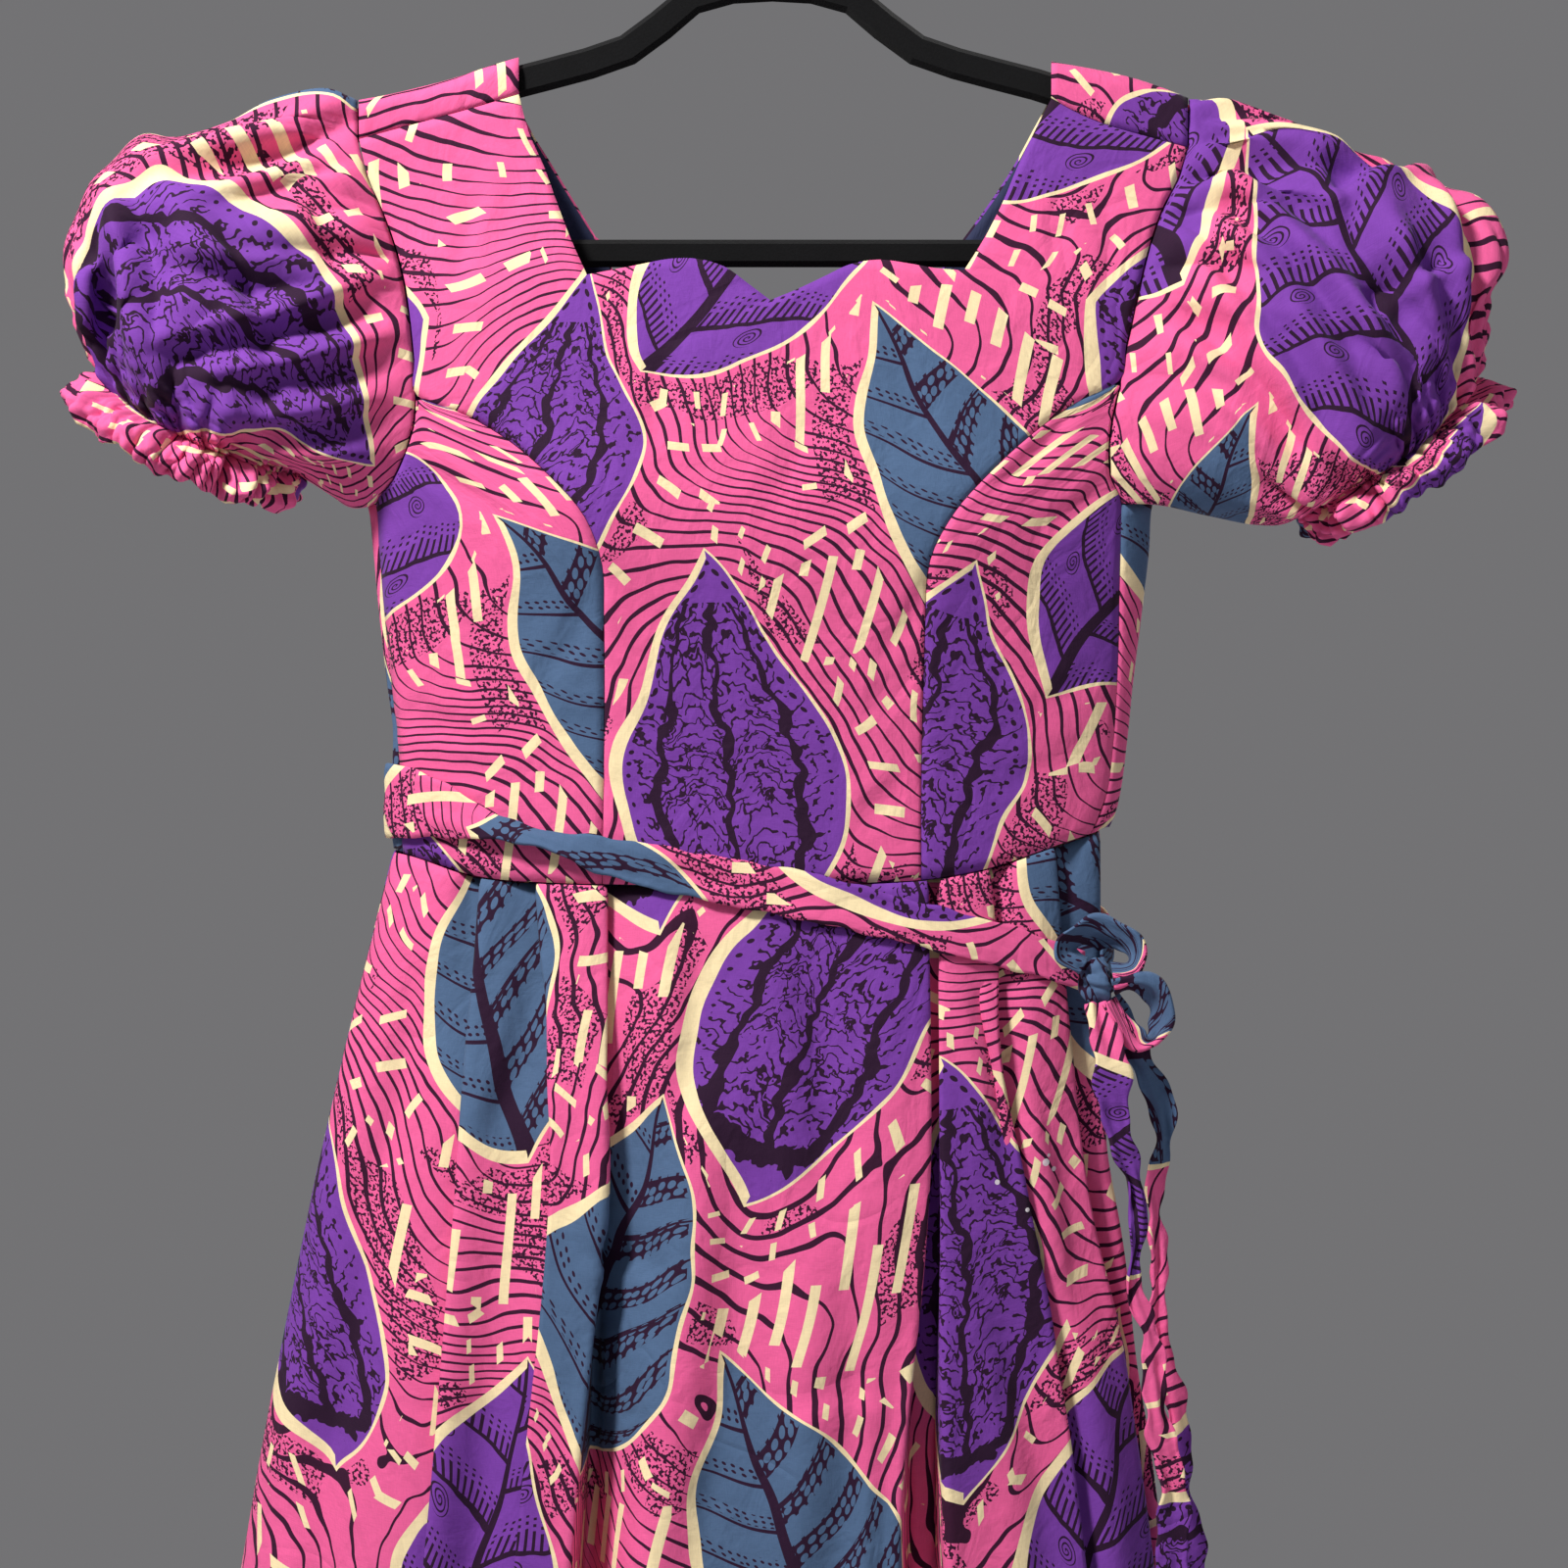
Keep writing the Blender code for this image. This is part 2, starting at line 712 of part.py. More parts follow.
def front_centre():
    net = Net()
    seam_l, run_l = princess_lines(PRINCESS_LEFT, ARMHOLE_FRONT_LEFT, 4, 6)
    seam_r, run_r = princess_lines(PRINCESS_RIGHT, ARMHOLE_FRONT_RIGHT, 4, 6)
    seam_l = shifted(seam_l, SEAM_GAP / 2)
    seam_r = shifted(seam_r, -SEAM_GAP / 2)
    seam_l[-1] = run_l[0] + (0.2, 0.25)
    seam_r[-1] = run_r[0] + (-0.2, 0.25)
    left = np.vstack([seam_l, run_l[1:]])
    right = np.vstack([seam_r, run_r[1:]])
    bottom = waist_line(left[0][0], right[0][0], 2 * FRONT_STRAP_COLUMNS + FRONT_NECK_COLUMNS + 1,
                        WAIST_FRONT)
    left[0] = bottom[0]
    right[0] = bottom[-1]
    base_l = spline((ARMHOLE_FRONT_LEFT[6], (-128, -249), NECK_LEFT[-1]), FRONT_STRAP_COLUMNS + 1)
    base_r = spline((NECK_RIGHT[-1], (130, -246), ARMHOLE_FRONT_RIGHT[6]), FRONT_STRAP_COLUMNS + 1)
    heart_l = spline(SWEETHEART[:7], FRONT_NECK_COLUMNS // 2 + 1)
    heart_r = spline(SWEETHEART[6:], FRONT_NECK_COLUMNS // 2 + 1)
    top = np.vstack([base_l, heart_l[1:], heart_r[1:], base_r[1:]])
    flat = coons(bottom, top, left, right)
    net.grid(front_point(flat[..., 0], flat[..., 1]))
    ARMHOLE["run", -1] = front_point(run_l[:, 0], run_l[:, 1])
    ARMHOLE["run", 1] = front_point(run_r[:, 0], run_r[:, 1])
    for base, arm, neck, seam in (
        (base_l, ARMHOLE_FRONT_LEFT[6:], NECK_LEFT[::-1], SHOULDER_SEAM_LEFT),
        (base_r[::-1], ARMHOLE_FRONT_RIGHT[6:], NECK_RIGHT[::-1], SHOULDER_SEAM_RIGHT),
    ):
        outer = spline(arm, STRAP_ROWS + 1)
        inner = spline(neck, STRAP_ROWS + 1)
        end = spline(seam, FRONT_STRAP_COLUMNS + 1) - (0, SEAM_GAP / 2)
        outer[-1] = end[0]
        inner[-1] = end[-1]
        flat = coons(base, end, outer, inner)
        hand = 1 if base[0][0] > 0 else -1
        ARMHOLE["strap", hand] = front_point(flat[:, 0, 0], flat[:, 0, 1])
        if hand > 0:
            flat = flat[:, ::-1]
        net.grid(front_point(flat[..., 0], flat[..., 1]))
    face_front(net)
    cloth("bodice_front_centre", net, PINK)


def front_side(name, princess, side_seam, armhole, hand):
    net = Net()
    seam = spline(princess, SIDE_ROWS + ARM_ROWS + 1)
    seam = shifted(seam, hand * SEAM_GAP / 2)
    side = spline(side_seam, SIDE_ROWS + 1)
    side = shifted(side, -hand * SEAM_GAP / 2)
    arm = spline(armhole[:5], ARM_ROWS + 1)
    arm[0] = side[-1]
    arm[-1] = np.array(armhole[4]) + (0, -2.2)
    seam[-1] = np.array(armhole[4]) + (-hand * 2.8, -1.4)
    outer = np.vstack([side, arm[1:]])
    bottom = waist_line(outer[0][0], seam[0][0], SIDE_COLUMNS + 1, WAIST_FRONT)
    outer[0] = bottom[0]
    seam[0] = bottom[-1]
    top = np.linspace(outer[-1], seam[-1], SIDE_COLUMNS + 1)
    flat = coons(bottom, top, outer, seam)
    net.grid(front_point(flat[..., 0], flat[..., 1]))
    arm = flat[SIDE_ROWS:, 0]
    ARMHOLE["side", hand] = front_point(arm[:, 0], arm[:, 1])
    face_front(net)
    cloth(name, net, PINK)


def back_panel(name, hand):
    left = hand < 0
    net = Net()
    side = spline(SIDE_SEAM_LEFT if left else SIDE_SEAM_RIGHT, SIDE_ROWS + 1)
    arm = ARMHOLE_BACK_LEFT if left else ARMHOLE_BACK_RIGHT
    neck = np.array(BACK_NECK)
    middle = 6
    neck_run = neck[: middle + 1] if left else neck[middle:][::-1]
    wrap = 2 if left else 3
    base_index = 4
    neck_base = 3
    columns = FRONT_STRAP_COLUMNS + BACK_NECK_COLUMNS

    def centre_angle(z):
        mid, half = middle_and_half(z)
        return np.degrees(np.arccos((hand * SEAM_GAP / 2 - mid) * hand / half))

    # lower block, waist to underarm, in angle and height
    side_z = side[:, 1]
    side_a = side_angle(side[:, 0], side_z, -1) + SEAM_GAP * 0.4
    arm_a = np.array([float(side_angle(x, z, 1)) for x, z in arm[: base_index + 1]])
    arm_z = np.array([z for x, z in arm[: base_index + 1]], float)
    under = spline(((side_a[-1], side_z[-1]), (arm_a[0], arm_z[0])), wrap + 1)
    across = np.stack([
        np.linspace(arm_a[0], centre_angle(arm_z[0]), columns + 1),
        np.linspace(arm_z[0], arm_z[0] - 2.0, columns + 1),
    ], axis=1)
    across[-1][0] = centre_angle(across[-1][1])
    top = np.vstack([under, across[1:]])
    angles = np.linspace(side_a[0], 90.0, wrap + columns + 1)
    zs = np.full(len(angles), side_z[0])
    for _ in range(3):
        zs = hermite([p[0] for p in WAIST_BACK], [p[1] for p in WAIST_BACK],
                     round_y(angles, zs, hand))
        angles = np.linspace(side_a[0], centre_angle(zs[-1]), wrap + columns + 1)
    bottom = np.stack([angles, zs], axis=1)
    edge = np.stack([side_a, side_z], axis=1)
    bottom[0] = edge[0]
    centre_z = np.linspace(bottom[-1][1], top[-1][1], SIDE_ROWS + 1)
    centre = np.stack([centre_angle(centre_z), centre_z], axis=1)
    flat = coons(bottom, top, edge, centre)
    lower = angle_point(flat[..., 0], flat[..., 1], hand)
    ids = net.grid(lower)
    for r in range(SIDE_ROWS + 1):
        net.normals[ids[r][0]] = front_normal(lower[r][0])
    # upper block, underarm to the strap's base and the neck
    base_x = spline((arm[base_index], neck_run[neck_base]), FRONT_STRAP_COLUMNS + 1)
    neck_xz = spline(neck_run[neck_base:], BACK_NECK_COLUMNS + 1)
    neck_xz[-1][0] = hand * SEAM_GAP / 2
    top_xz = np.vstack([base_x, neck_xz[1:]])
    mid, half = middle_and_half(top_xz[:, 1])
    signed = (top_xz[:, 0] - mid) * hand / half
    top = np.stack([np.degrees(np.arccos(np.clip(signed, -1, 1))), top_xz[:, 1]], axis=1)
    edge = spline(np.stack([arm_a, arm_z], axis=1), 6)
    centre_z = np.linspace(across[-1][1], top[-1][1], 6)
    centre = np.stack([centre_angle(centre_z), centre_z], axis=1)
    flat = coons(across, top, edge, centre)
    block = angle_point(flat[..., 0], flat[..., 1], hand)
    net.grid(block)
    # strap: back rows, the roll over the ridge, then the front to the seam
    outer = spline(np.vstack([[arm[base_index]], arm[base_index + 1 :]]), 5)
    inner = spline(neck_run[: neck_base + 1][::-1], 5)
    seam = spline(SHOULDER_SEAM_LEFT if left else SHOULDER_SEAM_RIGHT, FRONT_STRAP_COLUMNS + 1)
    grid = [block[-1][: FRONT_STRAP_COLUMNS + 1]]
    for r in range(1, 5):
        line = np.linspace(outer[r], inner[r], FRONT_STRAP_COLUMNS + 1)
        grid.append(back_point(line[:, 0], line[:, 1]))
    top_x = seam[:, 0]
    ridge = column(RIDGE, 1, top_x)
    for turn in (35, 90, 145, 180):
        lift = SHOULDER_ROLL * (1 - math.sin(math.radians(turn)))
        y = SHOULDER_ROLL * math.cos(math.radians(turn))
        if turn == 180:
            lift = SHOULDER_ROLL + 1.5
        grid.append(real(top_x, np.full(len(top_x), y), ridge - lift))
    seam_z = seam[:, 1] + SEAM_GAP / 2
    grid.append(real(seam[:, 0], bodice_y(seam[:, 0], seam_z, -1), seam_z))
    grid = np.array(grid)
    net.grid(grid)
    ARMHOLE["under", hand] = lower[-1][: wrap + 1]
    ARMHOLE["back", hand] = np.vstack([block[1:, 0], grid[1:5, 0]])
    ARMHOLE["rise", hand] = grid[5, 0]
    ARMHOLE["ridge", hand] = grid[6, 0]
    ARMHOLE["roll", hand] = grid[7:, 0]
    cloth(name, net, PINK if left else PURPLE)


def neck_facing():
    net = Net()
    line = spline(BACK_NECK, 21)
    inner = np.array(line)
    away = shifted(line, FACING_WIDTH) - line
    away /= np.linalg.norm(away, axis=1)[:, None]
    rows = []
    for w in (1.0, FACING_WIDTH / 2, FACING_WIDTH):
        p = inner + away * w
        p[:, 1] = np.minimum(p[:, 1], column(RIDGE, 1, p[:, 0]) - 12)
        p[:, 0] = np.clip(p[:, 0], -168, 164)
        y = bodice_y(p[:, 0], p[:, 1], 1) - (WALL + FACING_WALL) / 2 - 0.6
        rows.append(real(p[:, 0], y, p[:, 1]))
    net.grid(np.array(rows))
    cloth("back_neck_facing", net, NAVY, FACING_WALL)


# ------------------------------------------------------------------ sleeves
def armhole_loop(hand):
    """Armhole edge from the ridge down the front, under and up the back.

    Gives the places, the turn of each round the sleeve and the way it faces.
    """
    places = [ARMHOLE["ridge", hand]]
    places += list(ARMHOLE["roll", hand])
    places += list(ARMHOLE["strap", hand][::-1])
    places += list(ARMHOLE["run", hand][::-1][1:])
    places += list(ARMHOLE["side", hand][::-1])
    front = len(places)
    places += list(ARMHOLE["under", hand])
    places += list(ARMHOLE["back", hand]) + [ARMHOLE["rise", hand], ARMHOLE["ridge", hand]]
    roll = 1 + len(ARMHOLE["roll", hand])
    under = front + len(ARMHOLE["under", hand])
    facing = []
    ridge = ARMHOLE["ridge", hand]
    for i, p in enumerate(places):
        if i < roll - 1 or i > len(places) - 3:
            n = np.array([0.0, p[1], p[2] - ridge[2] + SHOULDER_ROLL])
        elif i < front:
            n = front_normal(p)
        elif i < under:
            n = round_normal(p, hand)
        else:
            n = round_normal(p, hand)
        facing.append(n / np.linalg.norm(n))
    rows = [(places[0], facing[0])]
    for p, n in zip(places[1:], facing[1:]):
        q, m = rows[-1]
        gap = np.linalg.norm(p - q)
        if gap < 1.2:
            continue
        parts = max(1, int(round(gap / SLEEVE_STEP)))
        rows += [(q + (p - q) * k / parts, m + (n - m) * k / parts) for k in range(1, parts + 1)]
    loop = np.array([r[0] for r in rows])
    facing = np.array([r[1] for r in rows])
    facing /= np.linalg.norm(facing, axis=1)[:, None]
    run = np.concatenate([[0], np.cumsum(np.linalg.norm(np.diff(loop, axis=0), axis=1))])
    lowest = int(np.argmin(np.abs(loop[:, 1]) + 100 * (loop[:, 2] > loop[:, 2].min() + 25)))
    turns = np.where(
        run < run[lowest],
        run / run[lowest] * math.pi,
        math.pi + (run - run[lowest]) / (run[-1] - run[lowest]) * math.pi,
    )
    return loop[:-1], turns[:-1], facing[:-1]


def sleeve_ring(hand, t, phi):
    """One ring of a sleeve; phi 0 at the top, 90 at the front."""
    left = hand < 0
    top = spline(SLEEVE_LEFT_TOP if left else SLEEVE_RIGHT_TOP, [t])[0]
    under = spline(SLEEVE_LEFT_UNDER if left else SLEEVE_RIGHT_UNDER, [t])[0]
    mid = (top + under) / 2
    arm = (top - under) / 2
    length = np.linalg.norm(arm)
    axis = np.array([arm[1], -arm[0]]) / length * -hand * -1
    if axis[0] * hand < 0:
        axis = -axis
    depth = float(hermite([r[0] for r in SLEEVE_DEPTH], [r[1] for r in SLEEVE_DEPTH], t))
    wave = np.zeros_like(phi)
    cap = np.cos(phi) * 0.5 + 0.5
    wave += GATHER_HEIGHT * 0.9 * cap * np.sin(CAP_GATHERS * 2 * phi + 0.6) * (
        float(smooth(0, 0.07, t)) * (1 - float(smooth(0.1, 0.5, t)))
    )
    calm = 1 - 0.85 * np.exp(-(((phi - math.pi) / 0.55) ** 2))
    wave += GATHER_HEIGHT * np.sin(CUFF_GATHERS * phi + 0.9) * float(smooth(0.6, 1, t)) * calm
    scale = 1 + wave / length
    dip = CUFF_DIP * float(smooth(0.5, 1, t)) * np.sin(phi)
    x = mid[0] + arm[0] * np.cos(phi) * scale + axis[0] * dip
    z = mid[1] + arm[1] * np.cos(phi) * scale + axis[1] * dip
    y = -(depth + wave) * np.sin(phi)
    return x, y, z


def cuff_frame(hand, phi):
    """Directions at the elastic: across the wall, and out along the frill."""
    left = hand < 0
    top = np.array((SLEEVE_LEFT_TOP if left else SLEEVE_RIGHT_TOP)[-1], float)
    under = np.array((SLEEVE_LEFT_UNDER if left else SLEEVE_RIGHT_UNDER)[-1], float)
    arm = (top - under) / 2
    length = np.linalg.norm(arm)
    a = math.cos(phi) / length
    b = math.sin(phi) / SLEEVE_DEPTH[-1][1]
    radial = np.array([arm[0] / length * a, -b, arm[1] / length * a])
    radial /= np.linalg.norm(radial)
    axis = np.array([arm[1], 0.0, -arm[0]]) / length
    if axis[2] > 0:
        axis = -axis
    lean = math.radians(52) * math.exp(-(((phi - math.pi) / 0.7) ** 2))
    across = radial * math.cos(lean) + axis * math.sin(lean)
    out = axis * math.cos(lean) - radial * math.sin(lean)
    return across, out, axis, radial


def sleeve(name, hand, colour):
    net = Net()
    loop, phi, facing = armhole_loop(hand)
    n = len(phi)
    start = real(*sleeve_ring(hand, 0.0, phi))
    way = np.roll(loop, -1, axis=0) - np.roll(loop, 1, axis=0)
    out = np.cross(way, facing) * -hand
    out /= np.linalg.norm(out, axis=1)[:, None]
    rows = []
    for t in SLEEVE_ROWS:
        ring = real(*sleeve_ring(hand, t, phi))
        pull = max(0.0, 1 - t / 0.45) ** 2
        ring = ring + (loop - start) * pull
        ring = ring + out * ARMHOLE_GAP * pull
        rows.append(ring)
    ids = net.grid(np.array(rows), closed=True)
    for i in range(n):
        net.normals[ids[0][i]] = facing[i]
        net.normals[ids[-1][i]] = cuff_frame(hand, phi[i])[0]
    cloth(name, net, colour)


def frill(name, hand, colour):
    net = Net()
    n = FRILL_COLUMNS
    phi = np.linspace(0, 2 * math.pi, n, endpoint=False)
    ring = real(*sleeve_ring(hand, 1.0, phi))
    frames = [cuff_frame(hand, a) for a in phi]
    across, out, axis, radial = (np.array([f[k] for f in frames]) for k in range(4))
    start = ring + out * FRILL_GAP
    rows = [start]
    for w in (0.4, 1.0):
        wave = w * (FRILL_FLARE + FRILL_WAVE * np.sin(FRILL_WAVES * phi))
        rows.append(start + axis * w * FRILL_LENGTH + radial * wave[:, None])
    ids = net.grid(np.array(rows), closed=True)
    for i in range(n):
        net.normals[ids[0][i]] = across[i]
    cloth(name, net, colour)


# -------------------------------------------------------------------- skirt
def level(values, v):
    return hermite(SKIRT_LEVELS, values, v)


def skirt_base(x, v, side):
    """Depth of the skirt's plain form; side -1 front, +1 back."""
    left = level(SKIRT_LEFT, v)
    right = level(SKIRT_RIGHT, v)
    depth = level(SKIRT_FRONT_DEPTH if side < 0 else SKIRT_BACK_DEPTH, v)
    mid = (left + right) / 2
    half = (right - left) / 2
    return level(SKIRT_SIDE_Y, v) + side * depth * profile((x - mid) / half)


def pleat_columns(fold, v):
    """Places across one pleat: x and the distance behind the plain form."""
    _, way, edge, inner, depth, joined = fold
    e = float(level(edge, v))
    i = float(level(inner, v))
    d = float(level(depth, v))
    o = float(smooth(0.01, 0.18, v))
    p = PLEAT_PITCH
    shut = [
        (e - 0.6 * p * way, 0.0),
        (e, 0.5 * p),
        (e - 0.6 * p * way, p),
        (i + 0.6 * p * way, p),
        (i, 1.5 * p),
        (i + 0.6 * p * way, 2 * p),
        (e + 3.2 * way, 2 * p - 0.2),
    ]
    wide = 4 + 4 * v
    spread = [
        (e - wide * way, 0.6 + 1.5 * v),
        (e, 0.0),
        (e + (i - e) * 0.25, d * 0.22),
        (e + (i - e) * 0.66, d * 0.7),
        (i, d),
        (i + 0.6 * wide * way, d * 0.95),
        (i + 1.3 * wide * way, d * 0.72),
    ]
    folded = [
        (e - wide * way, 0.6 + 1.5 * v),
        (e, 0.1 * d),
        (e + (i - e) * 0.25, d * 0.4),
        (e + (i - e) * 0.7, d * 0.54),
        (i, 0.75 * d),
        (i + 0.6 * wide * way, d),
        (i + 1.3 * wide * way, d * 0.95),
    ]
    over = float(smooth(-2, 4, (e - i) * way))
    spread = [
        ((1 - over) * a[0] + over * b[0], (1 - over) * a[1] + over * b[1])
        for a, b in zip(spread, folded)
    ]
    out = [
        ((1 - o) * a[0] + o * b[0], (1 - o) * a[1] + o * b[1]) for a, b in zip(shut, spread)
    ]
    if not joined:
        out = out[:-1]
    return out if way > 0 else out[::-1]


def skirt_row(v, side):
    """Cloth places along one row, from the left side seam to the right."""
    left = float(level(SKIRT_LEFT, v))
    right = float(level(SKIRT_RIGHT, v))
    mid = (left + right) / 2
    half = (right - left) / 2
    side_y = float(level(SKIRT_SIDE_Y, v))
    out = [(left, side_y + side * SEAM_GAP / 2)]
    for turn in (9, 20, 34):
        x = mid - half * math.cos(math.radians(turn))
        out.append((x, float(skirt_base(x, v, side))))
    for fold in FRONT_FOLDS if side < 0 else BACK_FOLDS:
        if fold[0] == "soft":
            x = float(level(fold[1], v))
            out.append((x, float(skirt_base(x, v, side)) - side * float(level(fold[2], v))))
        else:
            for x, n in pleat_columns(fold, v):
                out.append((x, float(skirt_base(x, v, side)) - side * n))
    seam_x = float(level(SEAM_RIGHT_X, v))
    seam_y = float(level(SEAM_RIGHT_Y, v))
    if side < 0:
        out.append((float(level(TURN_RIGHT_X, v)), float(level(TURN_RIGHT_Y, v))))
    else:
        x = mid + half * 0.93
        out.append((x, max(float(skirt_base(x, v, side)), seam_y + 3)))
    out.append((seam_x, seam_y + side * SEAM_GAP / 2))
    return np.array(out)


def skirt_grid(rows, side):
    table = WAIST_FRONT if side < 0 else WAIST_BACK
    grid = []
    for v in rows:
        row = skirt_row(v, side)
        top = hermite([p[0] for p in table], [p[1] for p in table], skirt_row(0.0, side)[:, 0])
        first = real(row[:, 0], row[:, 1], top - WAIST_GAP)
        z = first[:, 2] * (1 - v) + HEM_Z * v
        grid.append(np.stack([first[:, 0], row[:, 1], z], axis=-1))
    return np.array(grid)


def skirt(name, side, colour):
    net = Net()
    grid = skirt_grid(SKIRT_ROWS, side)
    other = skirt_grid(SKIRT_ROWS, -side)
    ids = net.grid(grid)
    for r in range(len(SKIRT_ROWS)):
        for end, near in ((0, 1), (-1, -2)):
            way = (other[r][near] - grid[r][near]) * side
            normal = np.array([way[1], -way[0], 0.0])
            net.normals[ids[r][end]] = normal / np.linalg.norm(normal)
    cloth(name, net, colour)


# --------------------------------------------------------------------- sash
def waist_share(z, side):
    """Skirt share of length at a height just below the waist seam."""
    top = -522.0 if side < 0 else -508.0
    return np.clip((top - z) / (top - HEM_Z), 0, 1)


def outer_y(x, z, side):
    """Plain form of bodice and skirt together near the waist."""
    top = -522.0 if side < 0 else -508.0
    a = bodice_y(x, np.maximum(z, top), side)
    b = skirt_base(x, waist_share(z, side), side)
    return np.where(z > top, a, b)


def sash():
    net = Net()
    rows = []
    line = spline(SASH_FRONT, 27)
    for x, z, wide, lift, lean in line:
        row = []
        for s in (-1, 0, 1):
            zz = z + s * wide * math.cos(lean * 1.2)
            y = float(outer_y(np.array(x), np.array(zz), -1))
            row.append(real(x, y - lift + s * wide * math.sin(lean * 0.9) * 0.55, zz))
        rows.append(row)
    back = spline(SASH_BACK, 26)
    for angle, z, wide, lift in back:
        row = []
        for s in (-1, 0, 1):
            zz = z + s * wide
            rad = math.radians(angle)
            if zz > (-508 if 0 <= angle <= 180 else -522):
                mid, half = middle_and_half(zz)
                side_y = float(column(BODICE_DEPTH, 3, zz))
            else:
                v = float(waist_share(zz, 1 if 0 <= angle <= 180 else -1))
                left = float(level(SKIRT_LEFT, v))
                right = float(level(SKIRT_RIGHT, v))
                mid, half = (left + right) / 2, (right - left) / 2
                side_y = float(level(SKIRT_SIDE_Y, v))
            side = -1 if angle < 0 or angle > 180 else 1
            x = float(mid) - (float(half) + lift) * math.cos(rad)
            inner_x = float(mid) - float(half) * math.cos(rad)
            y = float(outer_y(np.array(inner_x), np.array(zz), side))
            y += side * lift * min(1.0, abs(math.sin(rad)) * 1.6)
            row.append(real(x, y, zz))
        rows.append(row)
    net.grid(np.array(rows))
    cloth("sash", net, PINK, TIE_WALL)


def ribbon(name, table, stations, colour):
    net = Net()
    line = spline(table, stations)
    way = np.gradient(line[:, :3], axis=0)
    way /= np.linalg.norm(way, axis=1)[:, None]
    rows = []
    for (x, y, z, wide, lean), w in zip(line, way):
        side = np.array([w[2], 0.0, -w[0]])
        side /= max(np.linalg.norm(side), 1e-6)
        if side[0] < 0 and lean < 0.99:
            side = -side
        across = side * math.cos(lean) + np.array([0, 1.0, 0]) * math.sin(lean)
        rows.append([np.array([x, y, z]) + across * wide * s for s in (-1, 0, 1)])
    rows = np.array(rows)
    net.grid(real(rows[..., 0], rows[..., 1], rows[..., 2]))
    cloth(name, net, colour, TIE_WALL)


def knot():
    bm = bmesh.new()
    bmesh.ops.create_uvsphere(bm, u_segments=10, v_segments=7, radius=1.0)
    centre = real(*KNOT)
    for v in bm.verts:
        dent = 1 - 0.13 * math.cos(3 * math.atan2(v.co.y, v.co.x) + 2.0 * v.co.z)
        v.co.x = (centre[0] + v.co.x * KNOT_RADII[0] * dent) * MM
        v.co.y = (centre[1] + v.co.y * KNOT_RADII[1] * dent) * MM
        v.co.z = (centre[2] + v.co.z * KNOT_RADII[2]) * MM
    points = [tuple(v.co) for v in bm.verts]
    faces = [tuple(v.index for v in f.verts) for f in bm.faces]
    bm.free()
    add_object("bow_knot", points, faces, PINK)


# ------------------------------------------------------------------- hanger
def hanger():
    half = spline(HANGER_HALF, 26)
    other = half[1:-1][::-1] * (-1, 1, 1)
    line = np.vstack([half, other])
    way = np.roll(line[:, :2], -1, axis=0) - np.roll(line[:, :2], 1, axis=0)
    way /= np.linalg.norm(way, axis=1)[:, None]
    points = []
    for (x, z, wide), w in zip(line, way):
        side = np.array([w[1], -w[0]])
        t = HANGER_HALF_THICKNESS
        h = wide / 2
        for a, b in ((h, 0), (h - 2.5, t), (2.5 - h, t), (-h, 0), (2.5 - h, -t), (h - 2.5, -t)):
            points.append(((x + side[0] * a) * MM, b * MM, (z + side[1] * a) * MM))
    n = len(line)
    faces = []
    for i in range(n):
        j = (i + 1) % n
        for k in range(6):
            m = (k + 1) % 6
            faces.append((i * 6 + k, i * 6 + m, j * 6 + m, j * 6 + k))
    add_object("hanger", points, faces, BLACK, 0.95)


def hook():
    radius = HOOK_INNER_RADIUS + HOOK_WIRE_RADIUS
    line = [tuple(p) for p in spline(HOOK_STEM, 9)]
    for step in range(-10, HOOK_END_DEGREES + 1, 14):
        a = math.radians(step)
        line.append((radius * math.cos(a), -HOOK_INNER_RADIUS + radius * math.sin(a)))
    line = np.array(line)
    way = np.gradient(line, axis=0)
    way /= np.linalg.norm(way, axis=1)[:, None]
    points = []
    sides = 8
    for (x, z), w in zip(line, way):
        out = np.array([w[1], -w[0]])
        for k in range(sides):
            a = 2 * math.pi * k / sides
            r = HOOK_WIRE_RADIUS
            points.append(
                (
                    (x + out[0] * r * math.cos(a)) * MM,
                    r * math.sin(a) * MM,
                    (z + out[1] * r * math.cos(a)) * MM,
                )
            )
    n = len(line)
    faces = [tuple(range(sides))[::-1], tuple(range((n - 1) * sides, n * sides))]
    for i in range(n - 1):
        for k in range(sides):
            m = (k + 1) % sides
            faces.append((i * sides + k, i * sides + m, (i + 1) * sides + m, (i + 1) * sides + k))
    add_object("hanger_hook", points, faces, CHROME, 0.25, 1.0)


front_centre()
front_side("bodice_front_side_left", PRINCESS_LEFT, SIDE_SEAM_LEFT, ARMHOLE_FRONT_LEFT, -1)
front_side("bodice_front_side_right", PRINCESS_RIGHT, SIDE_SEAM_RIGHT, ARMHOLE_FRONT_RIGHT, 1)
back_panel("bodice_back_left", -1)
back_panel("bodice_back_right", 1)
neck_facing()
sleeve("sleeve_left", -1, PURPLE)
sleeve("sleeve_right", 1, PINK)
frill("sleeve_frill_left", -1, PINK)
frill("sleeve_frill_right", 1, PURPLE)
skirt("skirt_front", -1, PURPLE)
skirt("skirt_back", 1, PINK)
sash()
knot()
ribbon("bow_loop_upper", LOOP_UPPER, 15, PURPLE)
ribbon("bow_loop_side", LOOP_SIDE, 13, PURPLE)
ribbon("sash_tail_front", TAIL_FRONT, 22, PINK)
ribbon("sash_tail_back", TAIL_BACK, 20, PURPLE)
hanger()
hook()
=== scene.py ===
"""Looks of the wax print dress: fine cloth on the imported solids, and its print."""

import math

